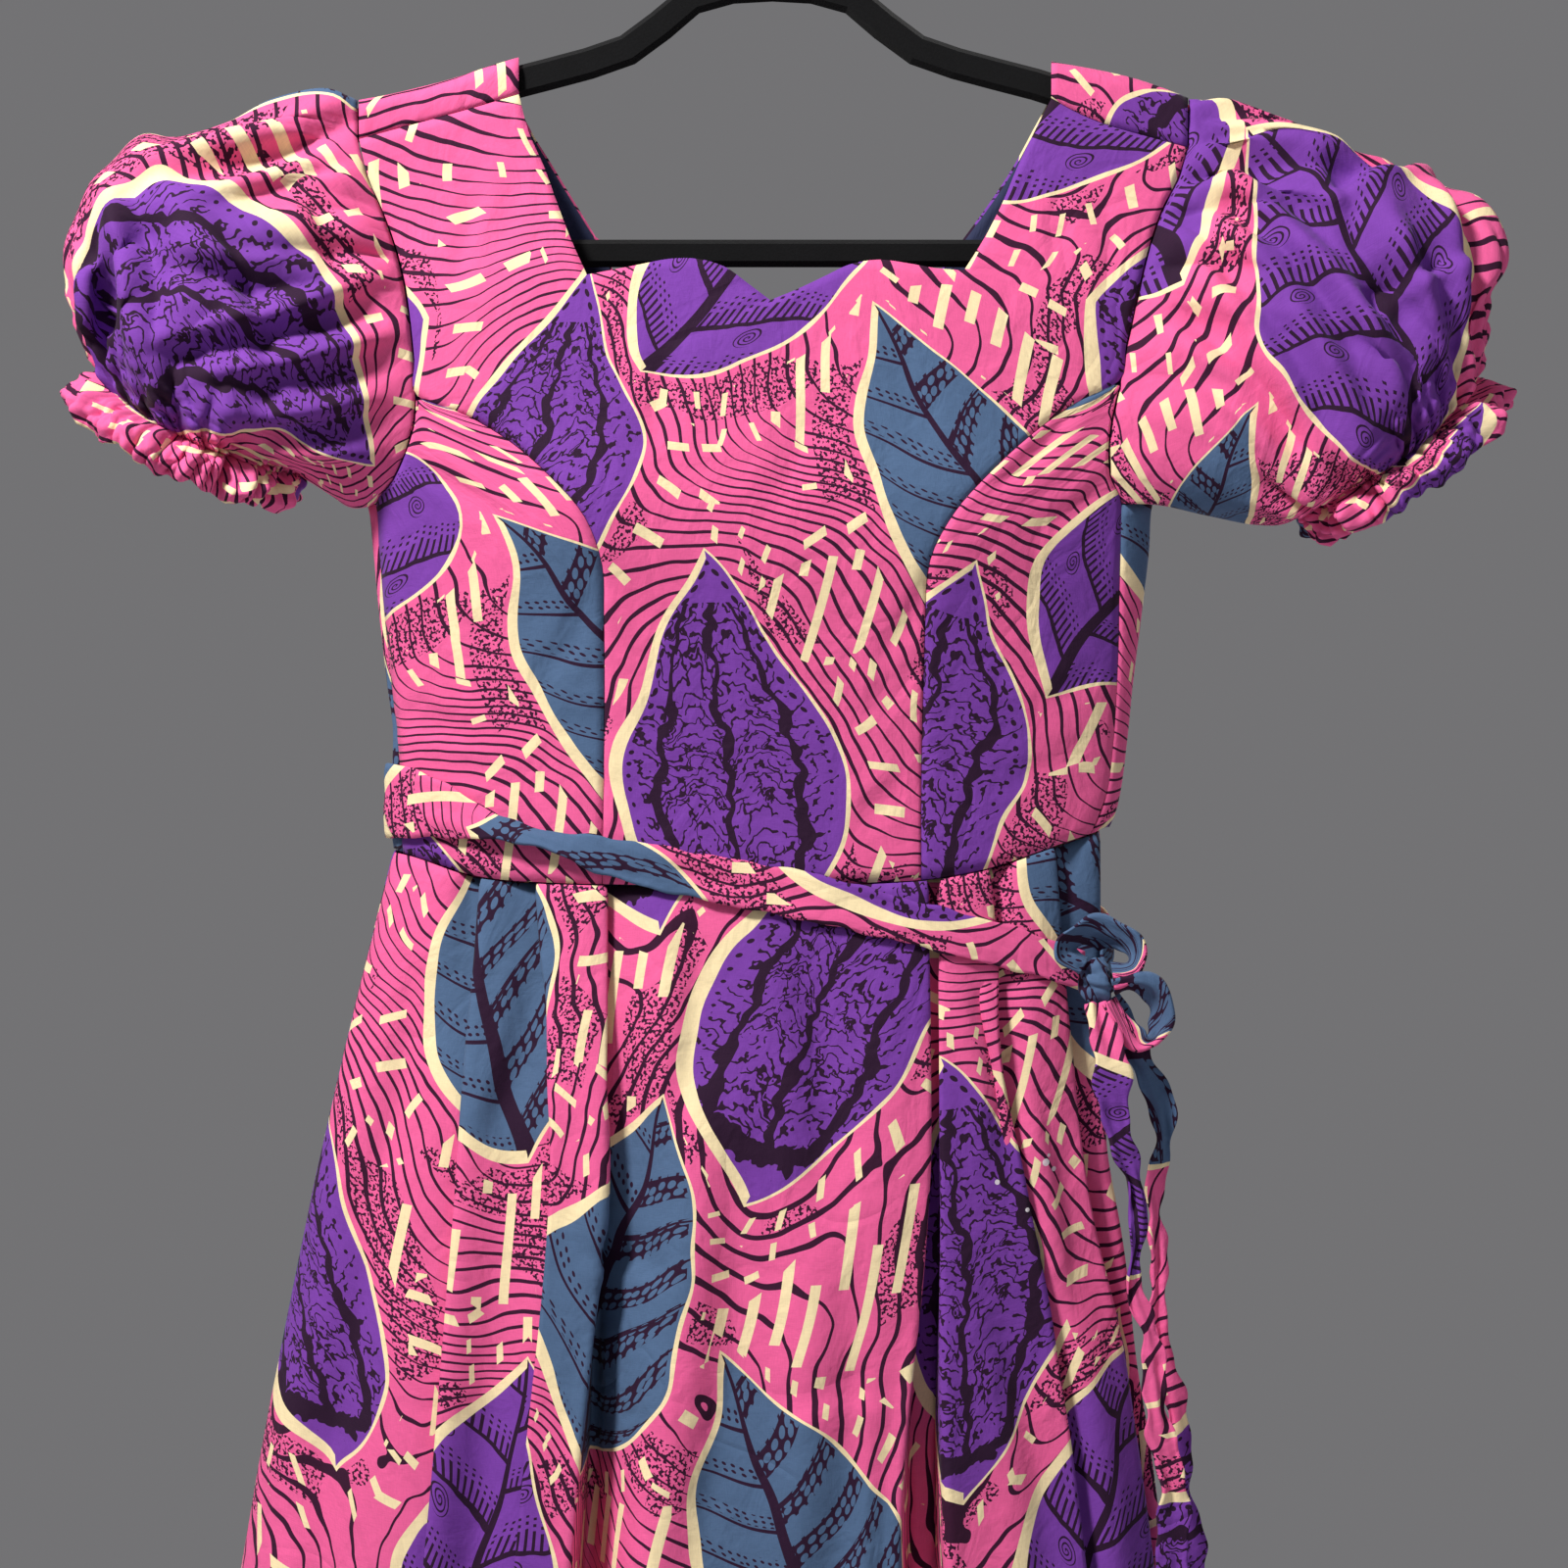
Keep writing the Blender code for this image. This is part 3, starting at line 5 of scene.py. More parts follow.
import bmesh
import bpy
import numpy as np
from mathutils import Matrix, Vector


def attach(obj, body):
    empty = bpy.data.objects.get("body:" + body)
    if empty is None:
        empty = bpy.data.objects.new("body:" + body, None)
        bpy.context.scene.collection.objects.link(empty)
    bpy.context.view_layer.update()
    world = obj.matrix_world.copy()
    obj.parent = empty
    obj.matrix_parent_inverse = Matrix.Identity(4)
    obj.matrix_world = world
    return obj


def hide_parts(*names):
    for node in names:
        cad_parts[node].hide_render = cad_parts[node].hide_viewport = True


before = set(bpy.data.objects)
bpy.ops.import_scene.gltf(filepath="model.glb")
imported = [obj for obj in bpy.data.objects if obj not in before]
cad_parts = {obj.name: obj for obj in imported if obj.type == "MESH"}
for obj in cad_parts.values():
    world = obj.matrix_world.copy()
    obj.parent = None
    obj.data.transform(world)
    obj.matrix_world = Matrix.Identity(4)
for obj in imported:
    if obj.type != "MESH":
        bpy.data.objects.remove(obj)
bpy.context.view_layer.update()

# Hands and faces of the dress, as the front is seen.
LEFT, RIGHT = -1, 1
FRONT, BACK = -1, 1

# --------------------------------------------------------------- dimensions
MM = 0.001
WALL = 1.6
FACING_WALL = 1.4
SEAM_GAP = 0.3
ARMHOLE_GAP = 0.7
WAIST_GAP = 0.7
SHOULDER_ROLL = 6.3

# Front-view tables are laid out on the hanger's plane and drawn in towards
# this line of sight by how near a point stands.
SIGHT_DISTANCE = 1300.0
SIGHT_X = 5.5
SIGHT_Z = -478.0

HEM_Z = -1140.0
PLEAT_PITCH = 3.1

# Bodice side outline: height, left, right.  Above the underarm it is the
# width that the cross-section would have, so that the armhole stays open.
BODICE_SIDE = (
    (-560, -178, 152), (-530, -178, 153), (-510, -178, 155), (-487, -178.5, 162),
    (-455, -177.6, 166.5), (-432, -180.3, 168.8), (-395, -184.5, 173.4), (-368, -187, 176.6),
    (-347, -189.5, 178), (-325, -198, 186), (-300, -208, 196), (-250, -218, 212),
    (-140, -225, 228),
)

# Cross-section depth: height, front, back, side.
BODICE_DEPTH = (
    (-560, 35, 31, 4), (-522, 34, 30, 4), (-480, 33, 27, 4), (-420, 35, 25, 3), (-350, 39, 25, 2),
    (-300, 34, 21, 1), (-230, 23, 16, 0), (-180, 13, 11, 0), (-130, 8, 8, 0),
)

# Bust fullness: x, z, height, spread.
BUST = ((-92, -352, 7, 34), (88, -352, 7, 34))

# Shoulder ridge over the hanger: x, z.
RIDGE = (
    (-240, -170), (-197, -158), (-181, -155), (-144, -145.5), (-124, -138.5), (0, -120),
    (132, -139.5), (171, -147.5), (210, -162), (240, -172),
)

SHOULDER_SEAM = {
    LEFT: ((-194, -175), (-146, -162), (-119, -154)),
    RIGHT: ((195, -179), (153, -167), (131, -156)),
}

NECK = {
    LEFT: ((-119, -154), (-113, -176), (-105, -193), (-98, -214), (-87, -239)),
    RIGHT: ((131, -156), (120, -178), (113, -193), (104, -214), (90, -237)),
}
SWEETHEART = (
    (-87, -239), (-71, -236), (-53, -232.5), (-40, -231), (-23, -235), (-9, -245), (-1, -251),
    (9, -247), (24, -240), (37, -234), (49, -232), (66, -234), (77, -236), (90, -237),
)
BACK_NECK = (
    (-121.5, -152), (-118, -163), (-100, -193), (-83, -221), (-66, -250), (-38, -269), (0, -275),
    (38, -269), (68, -250), (89, -223), (109, -195), (124, -168), (131, -154),
)

# Princess seams from the waist up to the armhole.
PRINCESS = {
    LEFT: (
        (-80, -525), (-79, -455), (-79, -409), (-80, -375), (-84, -360), (-93, -346), (-107, -331),
        (-122, -318), (-141, -306), (-167, -296),
    ),
    RIGHT: (
        (70, -523), (70, -478), (71, -432), (73, -382), (78, -362), (91, -344), (103, -331),
        (116, -319), (134, -304), (163, -289),
    ),
}

SIDE_SEAM = {
    LEFT: ((-174, -510), (-175, -470), (-179, -430), (-183, -390), (-186, -347)),
    RIGHT: ((150, -501.5), (158, -478), (162, -430), (163, -390), (164, -347)),
}

# Front armholes from the side seam up to the shoulder seam.
ARMHOLE_FRONT = {
    LEFT: (
        (-186, -347), (-179, -338), (-171.5, -322), (-167.5, -308), (-167, -296), (-167.5, -283),
        (-169.5, -262), (-172, -244), (-179, -218), (-189, -195), (-194, -175),
    ),
    RIGHT: (
        (164, -347), (159.5, -338), (157.5, -325), (159, -308), (163, -289), (166, -272),
        (169.5, -257), (175, -232), (182, -210), (191, -192), (195, -179),
    ),
}
# Back armholes from the underarm up to the ridge.
ARMHOLE_BACK = {
    LEFT: (
        (-187, -345), (-180, -328), (-174, -303), (-172, -270), (-176, -240), (-184, -210),
        (-191, -187), (-196, -166),
    ),
    RIGHT: (
        (176, -344), (170, -325), (165, -300), (168, -270), (175, -240), (183, -215), (193, -190),
        (202, -170),
    ),
}

WAIST = {
    FRONT: (
        (-183, -508), (-167, -512), (-140, -521), (-111, -524), (-80, -525), (0, -526), (52, -524),
        (70, -523), (100, -518), (133, -507), (160, -498),
    ),
    BACK: ((-183, -508), (-120, -510), (0, -512), (100, -506), (160, -498)),
}

# Skirt outline at four heights: waist, upper, middle, hem (share of length).
SKIRT_LEVELS = (0.0, 0.19, 0.45, 1.0)
SKIRT_LEFT = (-178, -207, -240, -295)
SKIRT_RIGHT = (154.5, 158, 180, 226)
SKIRT_DEPTH = {
    FRONT: (34, 52, 66, 88),
    BACK: (30, 46, 60, 84),
}
SKIRT_SIDE_Y = (4, 5, 6, 8)
SEAM_RIGHT_X = (154, 153, 171, 213)
SEAM_RIGHT_Y = (4, 8, 14, 20)
TURN_RIGHT_X = (152, 155.5, 177, 222)
TURN_RIGHT_Y = (-5, -3, 2, 4)

# Pleats: way the edge points, edge x, inner fold x, depth, joined to next.
FOLDS = {
    FRONT: (
        ("pleat", -1, (-137, -146, -160, -196), (-126, -139, -154, -189), (6.2, 6.5, 6.5, 8), 1),
        ("soft", (-129, -125, -137, -172), (0.3, 7, 12, 18)),
        ("pleat", -1, (-111, -104, -118, -154), (-100, -96, -110, -145), (6.2, 7, 7, 9), 1),
        ("pleat", 1, (-77.5, -78, -93, -127), (-94, -84, -86, -112), (6.2, 16, 36, 46), 1),
        ("soft", (-58, -44, -58, -80), (0, 0, -1, -5)),
        ("soft", (-30, -20, -28, -40), (0, 1.5, 2, 0)),
        ("soft", (0, 5, 2, -2), (0, 2, 4, 6)),
        ("soft", (28, 32, 26, 24), (0, 1, 1, 0)),
        ("soft", (46, 52, 44, 38), (0, 0, -2, -6)),
        ("pleat", 1, (73, 74, 60, 52), (58, 67, 64, 60), (6.2, 13, 30, 40), 0),
        ("pleat", -1, (78.7, 79, 82, 96), (88.5, 83, 77, 84), (6.2, 13, 30, 40), 0),
        ("pleat", 1, (102, 114, 143, 168), (92, 106, 136, 160), (6.2, 8, 10, 18), 1),
        ("soft", (113, 125, 154, 184), (0.8, 0.5, 1, 2)),
        ("pleat", 1, (132.5, 143, 172, 213), (120, 135, 160, 197), (6.2, 13, 20, 26), 1),
    ),
    BACK: (
        ("pleat", -1, (-132, -148, -172, -212), (-120, -139, -164, -204), (6.2, 9, 14, 22), 1),
        ("soft", (-112, -118, -136, -166), (0, 0, 2, 0)),
        ("pleat", 1, (-90, -95, -104, -122), (-104, -88, -92, -104), (6.2, 16, 30, 40), 1),
        ("soft", (-66, -64, -70, -78), (0, 0, 0, -3)),
        ("pleat", 1, (-40, -38, -42, -50), (-54, -33, -34, -36), (6.2, 12, 22, 30), 1),
        ("soft", (0, -2, -4, -2), (0, 0, 0, -4)),
        ("pleat", -1, (34, 36, 40, 46), (48, 30, 30, 32), (6.2, 12, 24, 32), 1),
        ("soft", (58, 60, 70, 82), (0, 0, 0, -3)),
        ("pleat", -1, (80, 86, 98, 118), (94, 78, 86, 104), (6.2, 14, 28, 38), 1),
        ("pleat", 1, (120, 126, 146, 182), (108, 116, 137, 174), (6.2, 8, 12, 18), 1),
    ),
}

# Sleeve outlines in front view from the armhole to the elastic.
SLEEVE_TOP = {
    LEFT: (
        (-197, -158), (-214, -156), (-235, -161), (-256, -168), (-279, -172), (-296, -173),
        (-308, -183), (-320, -195), (-325, -211), (-329, -228), (-327, -249), (-322, -270),
        (-314, -286),
    ),
    RIGHT: (
        (209, -162), (226, -163), (246, -166), (260, -171), (276, -178), (291, -181), (306, -188),
        (320, -196), (331, -205), (338, -220), (339, -235), (332, -250), (331, -266), (331, -280),
        (326, -291),
    ),
}
SLEEVE_UNDER = {
    LEFT: ((-189, -350), (-196, -349), (-205, -343), (-217, -336), (-227, -327)),
    RIGHT: ((177, -350), (186, -350), (204, -352), (226, -355), (242, -353), (252, -343)),
}
# Share of the way along, half depth front to back.
SLEEVE_DEPTH = ((0, 18), (0.15, 33), (0.35, 46), (0.6, 50), (0.82, 44), (1, 34))
CUFF_DIP = 11.0
CAP_GATHERS = 9
CUFF_GATHERS = 11
GATHER_HEIGHT = 3.0
FRILL_WAVES = 14
FRILL_LENGTH = 20.0
FRILL_FLARE = 5.0
FRILL_WAVE = 4.0

FACING_WIDTH = 42.0

# Sash stretch over the front and round the left side, then round the back:
# x or side angle, z of the middle, half width, lift, lean of the width.
SASH_FRONT = (
    (146.6, -566, 9, 7.9, 0.0), (118, -556.5, 10, 3.0, 0.0), (93, -550, 10.5, 3.0, 0.0),
    (60, -541.5, 10.5, 3.0, 0.0), (20, -531.5, 11.5, 3.0, 0.0), (-20, -524, 11, 3.0, 0.0),
    (-55, -517, 10.5, 3.0, 0.0), (-82, -511, 9, 4.0, 0.25), (-103, -505, 7.5, 6.5, 0.75),
    (-122, -500, 7.5, 6.5, 0.75), (-140, -495, 9.5, 4.5, 0.3), (-155, -490, 13, 3.4, 0.0),
    (-166, -487.5, 16, 3.2, 0.0),
)
SASH_BACK = (
    (-12, -486, 17, 3.2), (0, -486, 17, 3.2), (14, -487, 16, 3.2), (32, -489, 15, 3.2),
    (55, -494, 14, 3.2), (80, -503, 13, 3.2), (105, -515, 13, 3.2), (130, -528, 13, 3.2),
    (150, -539, 12.5, 3.2), (166, -547, 12, 3.4), (177, -552, 11, 3.8), (187, -557, 10, 5.0),
    (197.5, -562, 8.5, 8.2),
)

KNOT = (152.5, -23.6, -571.0)
KNOT_RADII = (7.9, 7.8, 10.4)
# x, y, z, half width, lean of the width towards the front.
LOOP_UPPER = (
    (146.8, -27.5, -562.5, 5.5, 1.25), (138, -28.5, -557, 7, 1.2), (141, -27, -550, 8, 1.1),
    (152, -24, -546, 8, 1.05), (163, -25, -549, 8, 1.05), (170, -27, -556, 7.5, 1.1),
    (168, -29, -564, 7, 1.2), (159.5, -28.4, -566.2, 5.5, 1.3),
)
LOOP_SIDE = (
    (160.1, -28.5, -574.5, 5, 1.3), (171, -32, -572.5, 6.5, 1.2), (180, -31, -578, 7, 1.1),
    (183, -30, -589, 7, 1.1), (178.5, -29, -600, 6.5, 1.1), (170.5, -30, -598, 6, 1.2),
    (158.8, -26.8, -579.4, 5, 1.3),
)
TAIL_FRONT = (
    (152.3, -29.3, -580.7, 4, 0.5), (155, -37, -597, 7.5, 0.2), (159, -40, -616, 8.5, 0.15),
    (164, -38, -642, 6, 0.6), (169.5, -36, -670, 4, 0.9), (171.5, -35, -695, 3.6, 0.9),
    (171, -34, -719, 3.8, 0.7), (176, -34, -735, 4.6, 0.5), (178.5, -34, -756, 5, 0.4),
    (182.5, -34, -778, 5.8, 0.3), (186, -34, -802, 6.5, 0.2), (189, -34, -846, 8, 0.1),
    (192, -35, -902, 9, 0.1),
)
TAIL_BACK = (
    (158.9, -19.1, -578.7, 5, 0.6), (171, -15, -600, 6, 0.3), (178, -16, -618, 6.5, 0.3),
    (183, -16, -640, 5, 0.6), (181, -15, -664, 4, 0.8), (180, -14, -692, 4, 0.8),
    (181, -14, -727, 4.2, 0.7), (186, -15, -755, 4.6, 0.6), (191.5, -16, -796, 5.5, 0.4),
    (196, -17, -846, 7, 0.2), (202, -18, -938, 9, 0.1),
)

# ------------------------------------------------------------------ creases
# x and z of both ends, half width and depth of each trough, in millimetres.
BODICE_CREASES = {
    FRONT: (
        (-150, -300, -104, -346, 5.0, 1.6), (-168, -330, -120, -362, 4.0, 1.3),
        (-82, -372, -52, -420, 5.5, 1.2), (-84, -392, -112, -436, 5.0, 1.3),
        (-78, -408, -40, -440, 4.5, 0.9), (-160, -400, -118, -418, 4.0, 1.0),
        (-172, -446, -128, -462, 5.0, 1.4), (-166, -470, -112, -482, 4.0, 1.5),
        (-92, -470, -52, -498, 5.0, 1.1), (-30, -470, 6, -508, 6.0, 0.9),
        (142, -300, 100, -344, 5.0, 1.5), (158, -334, 112, -366, 4.0, 1.2),
        (76, -376, 46, -424, 5.0, 1.2), (80, -400, 112, -440, 5.0, 1.4),
        (70, -420, 34, -446, 4.5, 1.0), (154, -420, 116, -446, 4.0, 1.1),
        (150, -456, 98, -478, 4.5, 1.3), (64, -470, 30, -502, 5.0, 1.1),
        (20, -300, -6, -360, 9.0, 0.9), (-46, -262, -60, -330, 8.0, 0.9),
        (52, -264, 66, -326, 8.0, 0.9), (-140, -196, -150, -250, 5.0, 1.0),
        (150, -200, 158, -258, 5.0, 1.0), (-120, -180, -128, -232, 5.0, 0.7),
        (134, -190, 128, -240, 5.0, 0.7),
    ),
    BACK: (
        (-160, -360, -120, -400, 5.0, 1.4), (-150, -430, -100, -450, 4.5, 1.2),
        (-130, -480, -70, -492, 5.0, 1.3), (-60, -330, -40, -400, 8.0, 1.0),
        (140, -356, 104, -396, 5.0, 1.4), (136, -424, 92, -452, 4.5, 1.2),
        (110, -476, 50, -494, 5.0, 1.3), (40, -330, 26, -410, 8.0, 1.0),
        (-20, -430, 10, -480, 6.0, 1.0),
    ),
}
SLEEVE_CREASES = {
    LEFT: (
        (-190, -164, -300, -200, 6.0, 4.6), (-196, -186, -268, -216, 5.0, 3.0),
        (-298, -198, -278, -288, 6.0, 4.6), (-318, -224, -302, -284, 4.5, 3.0),
        (-206, -250, -280, -240, 5.5, 4.0), (-252, -222, -226, -296, 5.0, 2.4),
        (-176, -250, -286, -286, 5.0, 4.4), (-172, -276, -268, -300, 4.5, 3.4),
        (-176, -306, -252, -318, 4.5, 3.0), (-184, -330, -240, -330, 4.0, 2.4),
        (-304, -236, -316, -286, 4.0, 2.4), (-214, -206, -200, -246, 5.0, 1.8),
        (-240, -152, -300, -176, 5.0, 2.0),
    ),
    RIGHT: (
        (198, -166, 296, -300, 7.0, 5.2), (196, -196, 276, -300, 6.0, 3.8),
        (176, -250, 250, -342, 6.0, 3.2), (252, -212, 298, -284, 6.0, 3.4),
        (214, -160, 300, -196, 5.5, 4.2), (250, -206, 322, -178, 5.0, 3.4),
        (268, -262, 322, -232, 4.5, 3.0), (288, -214, 312, -292, 6.0, 4.0),
        (312, -186, 322, -276, 5.0, 4.2), (262, -236, 296, -312, 5.5, 3.2),
        (232, -246, 278, -326, 5.5, 3.0), (204, -236, 258, -336, 6.0, 2.8),
        (196, -286, 246, -342, 4.5, 2.6), (190, -212, 216, -262, 5.0, 1.9),
        (256, -186, 268, -226, 5.0, 2.2), (300, -186, 334, -232, 5.0, 2.2),
    ),
}
SKIRT_CREASES = {
    FRONT: (
        (-166, -560, -196, -690, 9.0, 2.0), (-186, -650, -224, -830, 10.0, 2.2),
        (-70, -600, -62, -720, 10.0, 1.8), (-34, -540, -50, -650, 9.0, 1.6),
        (-18, -640, -44, -860, 12.0, 2.0), (14, -548, 20, -690, 10.0, 1.6),
        (34, -680, 12, -900, 12.0, 2.0), (92, -560, 108, -660, 7.0, 1.8),
        (118, -600, 142, -740, 8.0, 2.0), (98, -700, 128, -880, 9.0, 1.8),
        (150, -620, 176, -780, 7.0, 1.6), (-112, -560, -128, -640, 6.0, 1.6),
        (-206, -760, -244, -980, 11.0, 2.2), (-40, -850, -70, -1090, 12.0, 2.4),
        (60, -880, 66, -1100, 12.0, 2.2), (160, -860, 196, -1080, 10.0, 2.2),
        (-90, -690, -40, -704, 5.0, 0.8), (0, -760, 60, -752, 6.0, 0.7),
    ),
    BACK: (
        (-150, -560, -186, -720, 9.0, 2.0), (-110, -600, -130, -800, 10.0, 2.0),
        (-20, -560, -30, -720, 9.0, 1.8), (14, -620, 10, -820, 11.0, 2.0),
        (60, -580, 72, -740, 9.0, 1.8), (110, -600, 136, -780, 9.0, 2.0),
        (-60, -800, -84, -1060, 12.0, 2.4), (40, -840, 56, -1080, 12.0, 2.4),
        (150, -820, 180, -1060, 11.0, 2.2), (-190, -800, -236, -1040, 11.0, 2.2),
    ),
}


# Rows and columns of the panels' coarse grids, and fine steps in each of them.
FRONT_STRAP_COLUMNS = 5
FRONT_NECK_COLUMNS = 14
BACK_NECK_COLUMNS = 7
SIDE_COLUMNS = 6
SIDE_ROWS = 7
ARM_ROWS = 4
STRAP_ROWS = 5
PARTS = 4
FRILL_COLUMNS = 336
FRILL_ROWS = 26
SLEEVE_ROWS = 88
SKIRT_ROWS = 150
SKIRT_SPACING = 4.6

CLOTH = 0.8  # thickness of the shells, mm
TIE = 1.5
PRINT_UNIT = 100.0  # millimetres of cloth to one unit of the print map
SLEEVE_CLOTH = 440.0  # cloth round a sleeve, mm
CREASED = 1.4  # how strongly the listed creases are pressed in
SLEEVE_CREASED = 2.0
SKIRT_CREASED = 2.5
SLEEVE_LEAN = 2.0  # how much wider one wall of a fold is than the other
SKIRT_LEAN = 1.8


# ------------------------------------------------------------------ helpers
def smooth(a, b, x):
    """Eases from 0 at a to 1 at b."""
    t = np.clip((np.asarray(x, float) - a) / (b - a), 0, 1)
    return t * t * (3 - 2 * t)


def near_turn(phi, width):
    """Bell round the underarm, where phi is half a turn."""
    return np.exp(-(((phi - math.pi) / width) ** 2))


def unit(v):
    """Directions of length one."""
    return v / np.maximum(np.linalg.norm(v, axis=-1, keepdims=True), 1e-9)


def hermite(xs, ys, x):
    """Smooth curve through a table of values."""
    xs = np.asarray(xs, float)
    ys = np.asarray(ys, float)
    x = np.clip(np.asarray(x, float), xs[0], xs[-1])
    slope = np.diff(ys) / np.diff(xs)
    inner = np.where(slope[:-1] * slope[1:] > 0, (slope[:-1] + slope[1:]) / 2, 0)
    limit = 3 * np.minimum(abs(slope[:-1]), abs(slope[1:]))
    m = np.concatenate([slope[:1], np.clip(inner, -limit, limit), slope[-1:]])
    k = np.clip(np.searchsorted(xs, x, side="right") - 1, 0, len(xs) - 2)
    h = xs[k + 1] - xs[k]
    t = (x - xs[k]) / h
    a = (1 + 2 * t) * (1 - t) ** 2 * ys[k] + t * (1 - t) ** 2 * h * m[k]
    b = t * t * (3 - 2 * t) * ys[k + 1] + t * t * (t - 1) * h * m[k + 1]
    return a + b


def column(table, index, x):
    """One column of a table at x, a value of its first column."""
    rows = np.array(sorted(table), float)
    return hermite(rows[:, 0], rows[:, index], x)


def cubic(a, b, c, d, t):
    """Place between b and c on a smooth curve through four places."""
    return 0.5 * (
        2 * b
        + (c - a) * t
        + (2 * a - 5 * b + 4 * c - d) * t**2
        + (3 * b - a - 3 * c + d) * t**3
    )


def extended(g):
    """Rows with one more at each end, in line with the last two."""
    return np.concatenate([2 * g[:1] - g[1:2], g, 2 * g[-1:] - g[-2:-1]])


def refine(g, parts, axis=0):
    """Smooth rows between those of a grid along one axis."""
    g = np.moveaxis(np.asarray(g, float), axis, 0)
    e = extended(g)
    out = [cubic(*e[i : i + 4], k / parts) for i in range(len(g) - 1) for k in range(parts)]
    return np.moveaxis(np.array(out + [g[-1]]), 0, axis)


def fine(g, rows=PARTS, cols=PARTS):
    return refine(refine(g, rows), cols, 1)


def run_along(p, axis=0):
    """Length run along an axis of a line or grid of places."""
    step = np.linalg.norm(np.diff(p, axis=axis), axis=-1)
    pad = [(0, 0)] * step.ndim
    pad[axis] = (1, 0)
    return np.cumsum(np.pad(step, pad), axis=axis)


def spline(points, n):
    """n even steps, or the shares of the way in n, on a smooth curve through the points."""
    p = np.asarray(points, float)
    if len(p) > 2:
        p = refine(p, 12)
    run = run_along(p)
    where = np.linspace(0, run[-1], n) if np.isscalar(n) else np.asarray(n) * run[-1]
    return np.stack([np.interp(where, run, c) for c in p.T], axis=1)


def along(points, counts):
    """Centripetal curve through the points with a number of steps for each."""
    e = extended(np.asarray(points, float))
    out = []
    for i, n in enumerate(counts):
        p0, p1, p2, p3 = e[i : i + 4]
        t1, t2, t3 = np.cumsum([
            max(np.linalg.norm(b - a), 1e-3) ** 0.5 for a, b in ((p0, p1), (p1, p2), (p2, p3))
        ])
        t = (t1 + (t2 - t1) * np.arange(n) / n)[:, None]
        a1 = (t1 - t) / t1 * p0 + t / t1 * p1
        a2 = (t2 - t) / (t2 - t1) * p1 + (t - t1) / (t2 - t1) * p2
        a3 = (t3 - t) / (t3 - t2) * p2 + (t - t2) / (t3 - t2) * p3
        b1 = (t2 - t) / t2 * a1 + t / t2 * a2
        b2 = (t3 - t) / (t3 - t1) * a2 + (t - t1) / (t3 - t1) * a3
        out.append((t2 - t) / (t2 - t1) * b1 + (t - t1) / (t2 - t1) * b2)
    return np.vstack(out + [e[-2:-1]])


def joined(lines):
    """Lines end to end, each shared point once."""
    return np.vstack([line[:-1] for line in lines[:-1]] + [lines[-1]])


def shifted(line, distance):
    """A line in the front view moved sideways, to the right of its course."""
    line = np.asarray(line, float)
    way = unit(np.gradient(line, axis=0))
    return line + distance * np.stack([way[:, 1], -way[:, 0]], axis=1)


def coons(bottom, top, left, right):
    """Grid between four edges; rows run from bottom to top."""
    u = np.linspace(0, 1, len(bottom))[None, :, None]
    v = np.linspace(0, 1, len(left))[:, None, None]
    across = (1 - v) * bottom[None] + v * top[None]
    up = (1 - u) * left[:, None] + u * right[:, None]
    corner = (1 - v) * ((1 - u) * bottom[0] + u * bottom[-1])
    return across + up - corner - v * ((1 - u) * top[0] + u * top[-1])


def real(x, y, z):
    """Front-view place and depth to a place in the room."""
    k = (SIGHT_DISTANCE + y) / SIGHT_DISTANCE
    parts = SIGHT_X + (x - SIGHT_X) * k, y, SIGHT_Z + (z - SIGHT_Z) * k
    return np.stack(np.broadcast_arrays(*parts), axis=-1)


def seen(p):
    """Front-view x and z of a place in the room."""
    k = (SIGHT_DISTANCE + p[1]) / SIGHT_DISTANCE
    return SIGHT_X + (p[0] - SIGHT_X) / k, SIGHT_Z + (p[2] - SIGHT_Z) / k


# --------------------------------------------------------------------- form
def profile(c):
    """Depth share across a cross-section, 1 in the middle and 0 at a side."""
    return np.sqrt(np.clip(1 - np.abs(c) ** 2.2, 0, 1))


def middle_and_half(z):
    """Middle and half width of the bodice at a height."""
    left, right = column(BODICE_SIDE, 1, z), column(BODICE_SIDE, 2, z)
    return (left + right) / 2, (right - left) / 2


def bodice_y(x, z, face):
    """Depth of the bodice's front or back at a front-view place."""
    x, z = np.asarray(x, float), np.asarray(z, float)
    mid, half = middle_and_half(z)
    depth = profile((x - mid) / half) * column(BODICE_DEPTH, 1 if face == FRONT else 2, z)
    if face == FRONT:
        for bx, bz, high, spread in BUST:
            depth = depth + high * np.exp(-((x - bx) ** 2 + (z - bz) ** 2) / spread**2)
    blend = smooth(8, 110, column(RIDGE, 1, x) - z)
    return face * (SHOULDER_ROLL * (1 - blend) + depth * blend) + column(BODICE_DEPTH, 3, z) * blend


def front_point(x, z):
    return real(x, bodice_y(x, z, FRONT), z)


def back_point(x, z):
    return real(x, bodice_y(x, z, BACK), z)


def front_grid(flat):
    """Grid of x and z laid on the bodice's front."""
    return front_point(flat[..., 0], flat[..., 1])


def side_angle(x, z, face):
    """Angle of a front-view place: 0 at the side outline, 90 in the middle of the
    back, -90 in the middle of the front."""
    mid, half = middle_and_half(z)
    return face * np.degrees(np.arccos(np.clip(np.abs(x - mid) / half, 0, 1)))


def angle_x(angle, z, hand):
    mid, half = middle_and_half(z)
    return mid + hand * half * np.cos(np.radians(angle))


def angle_point(angle, z, hand):
    """Place on the bodice from an angle and a height."""
    x = angle_x(angle, z, hand)
    y = np.where(np.asarray(angle) < 0, bodice_y(x, z, FRONT), bodice_y(x, z, BACK))
    return real(x, y, z)


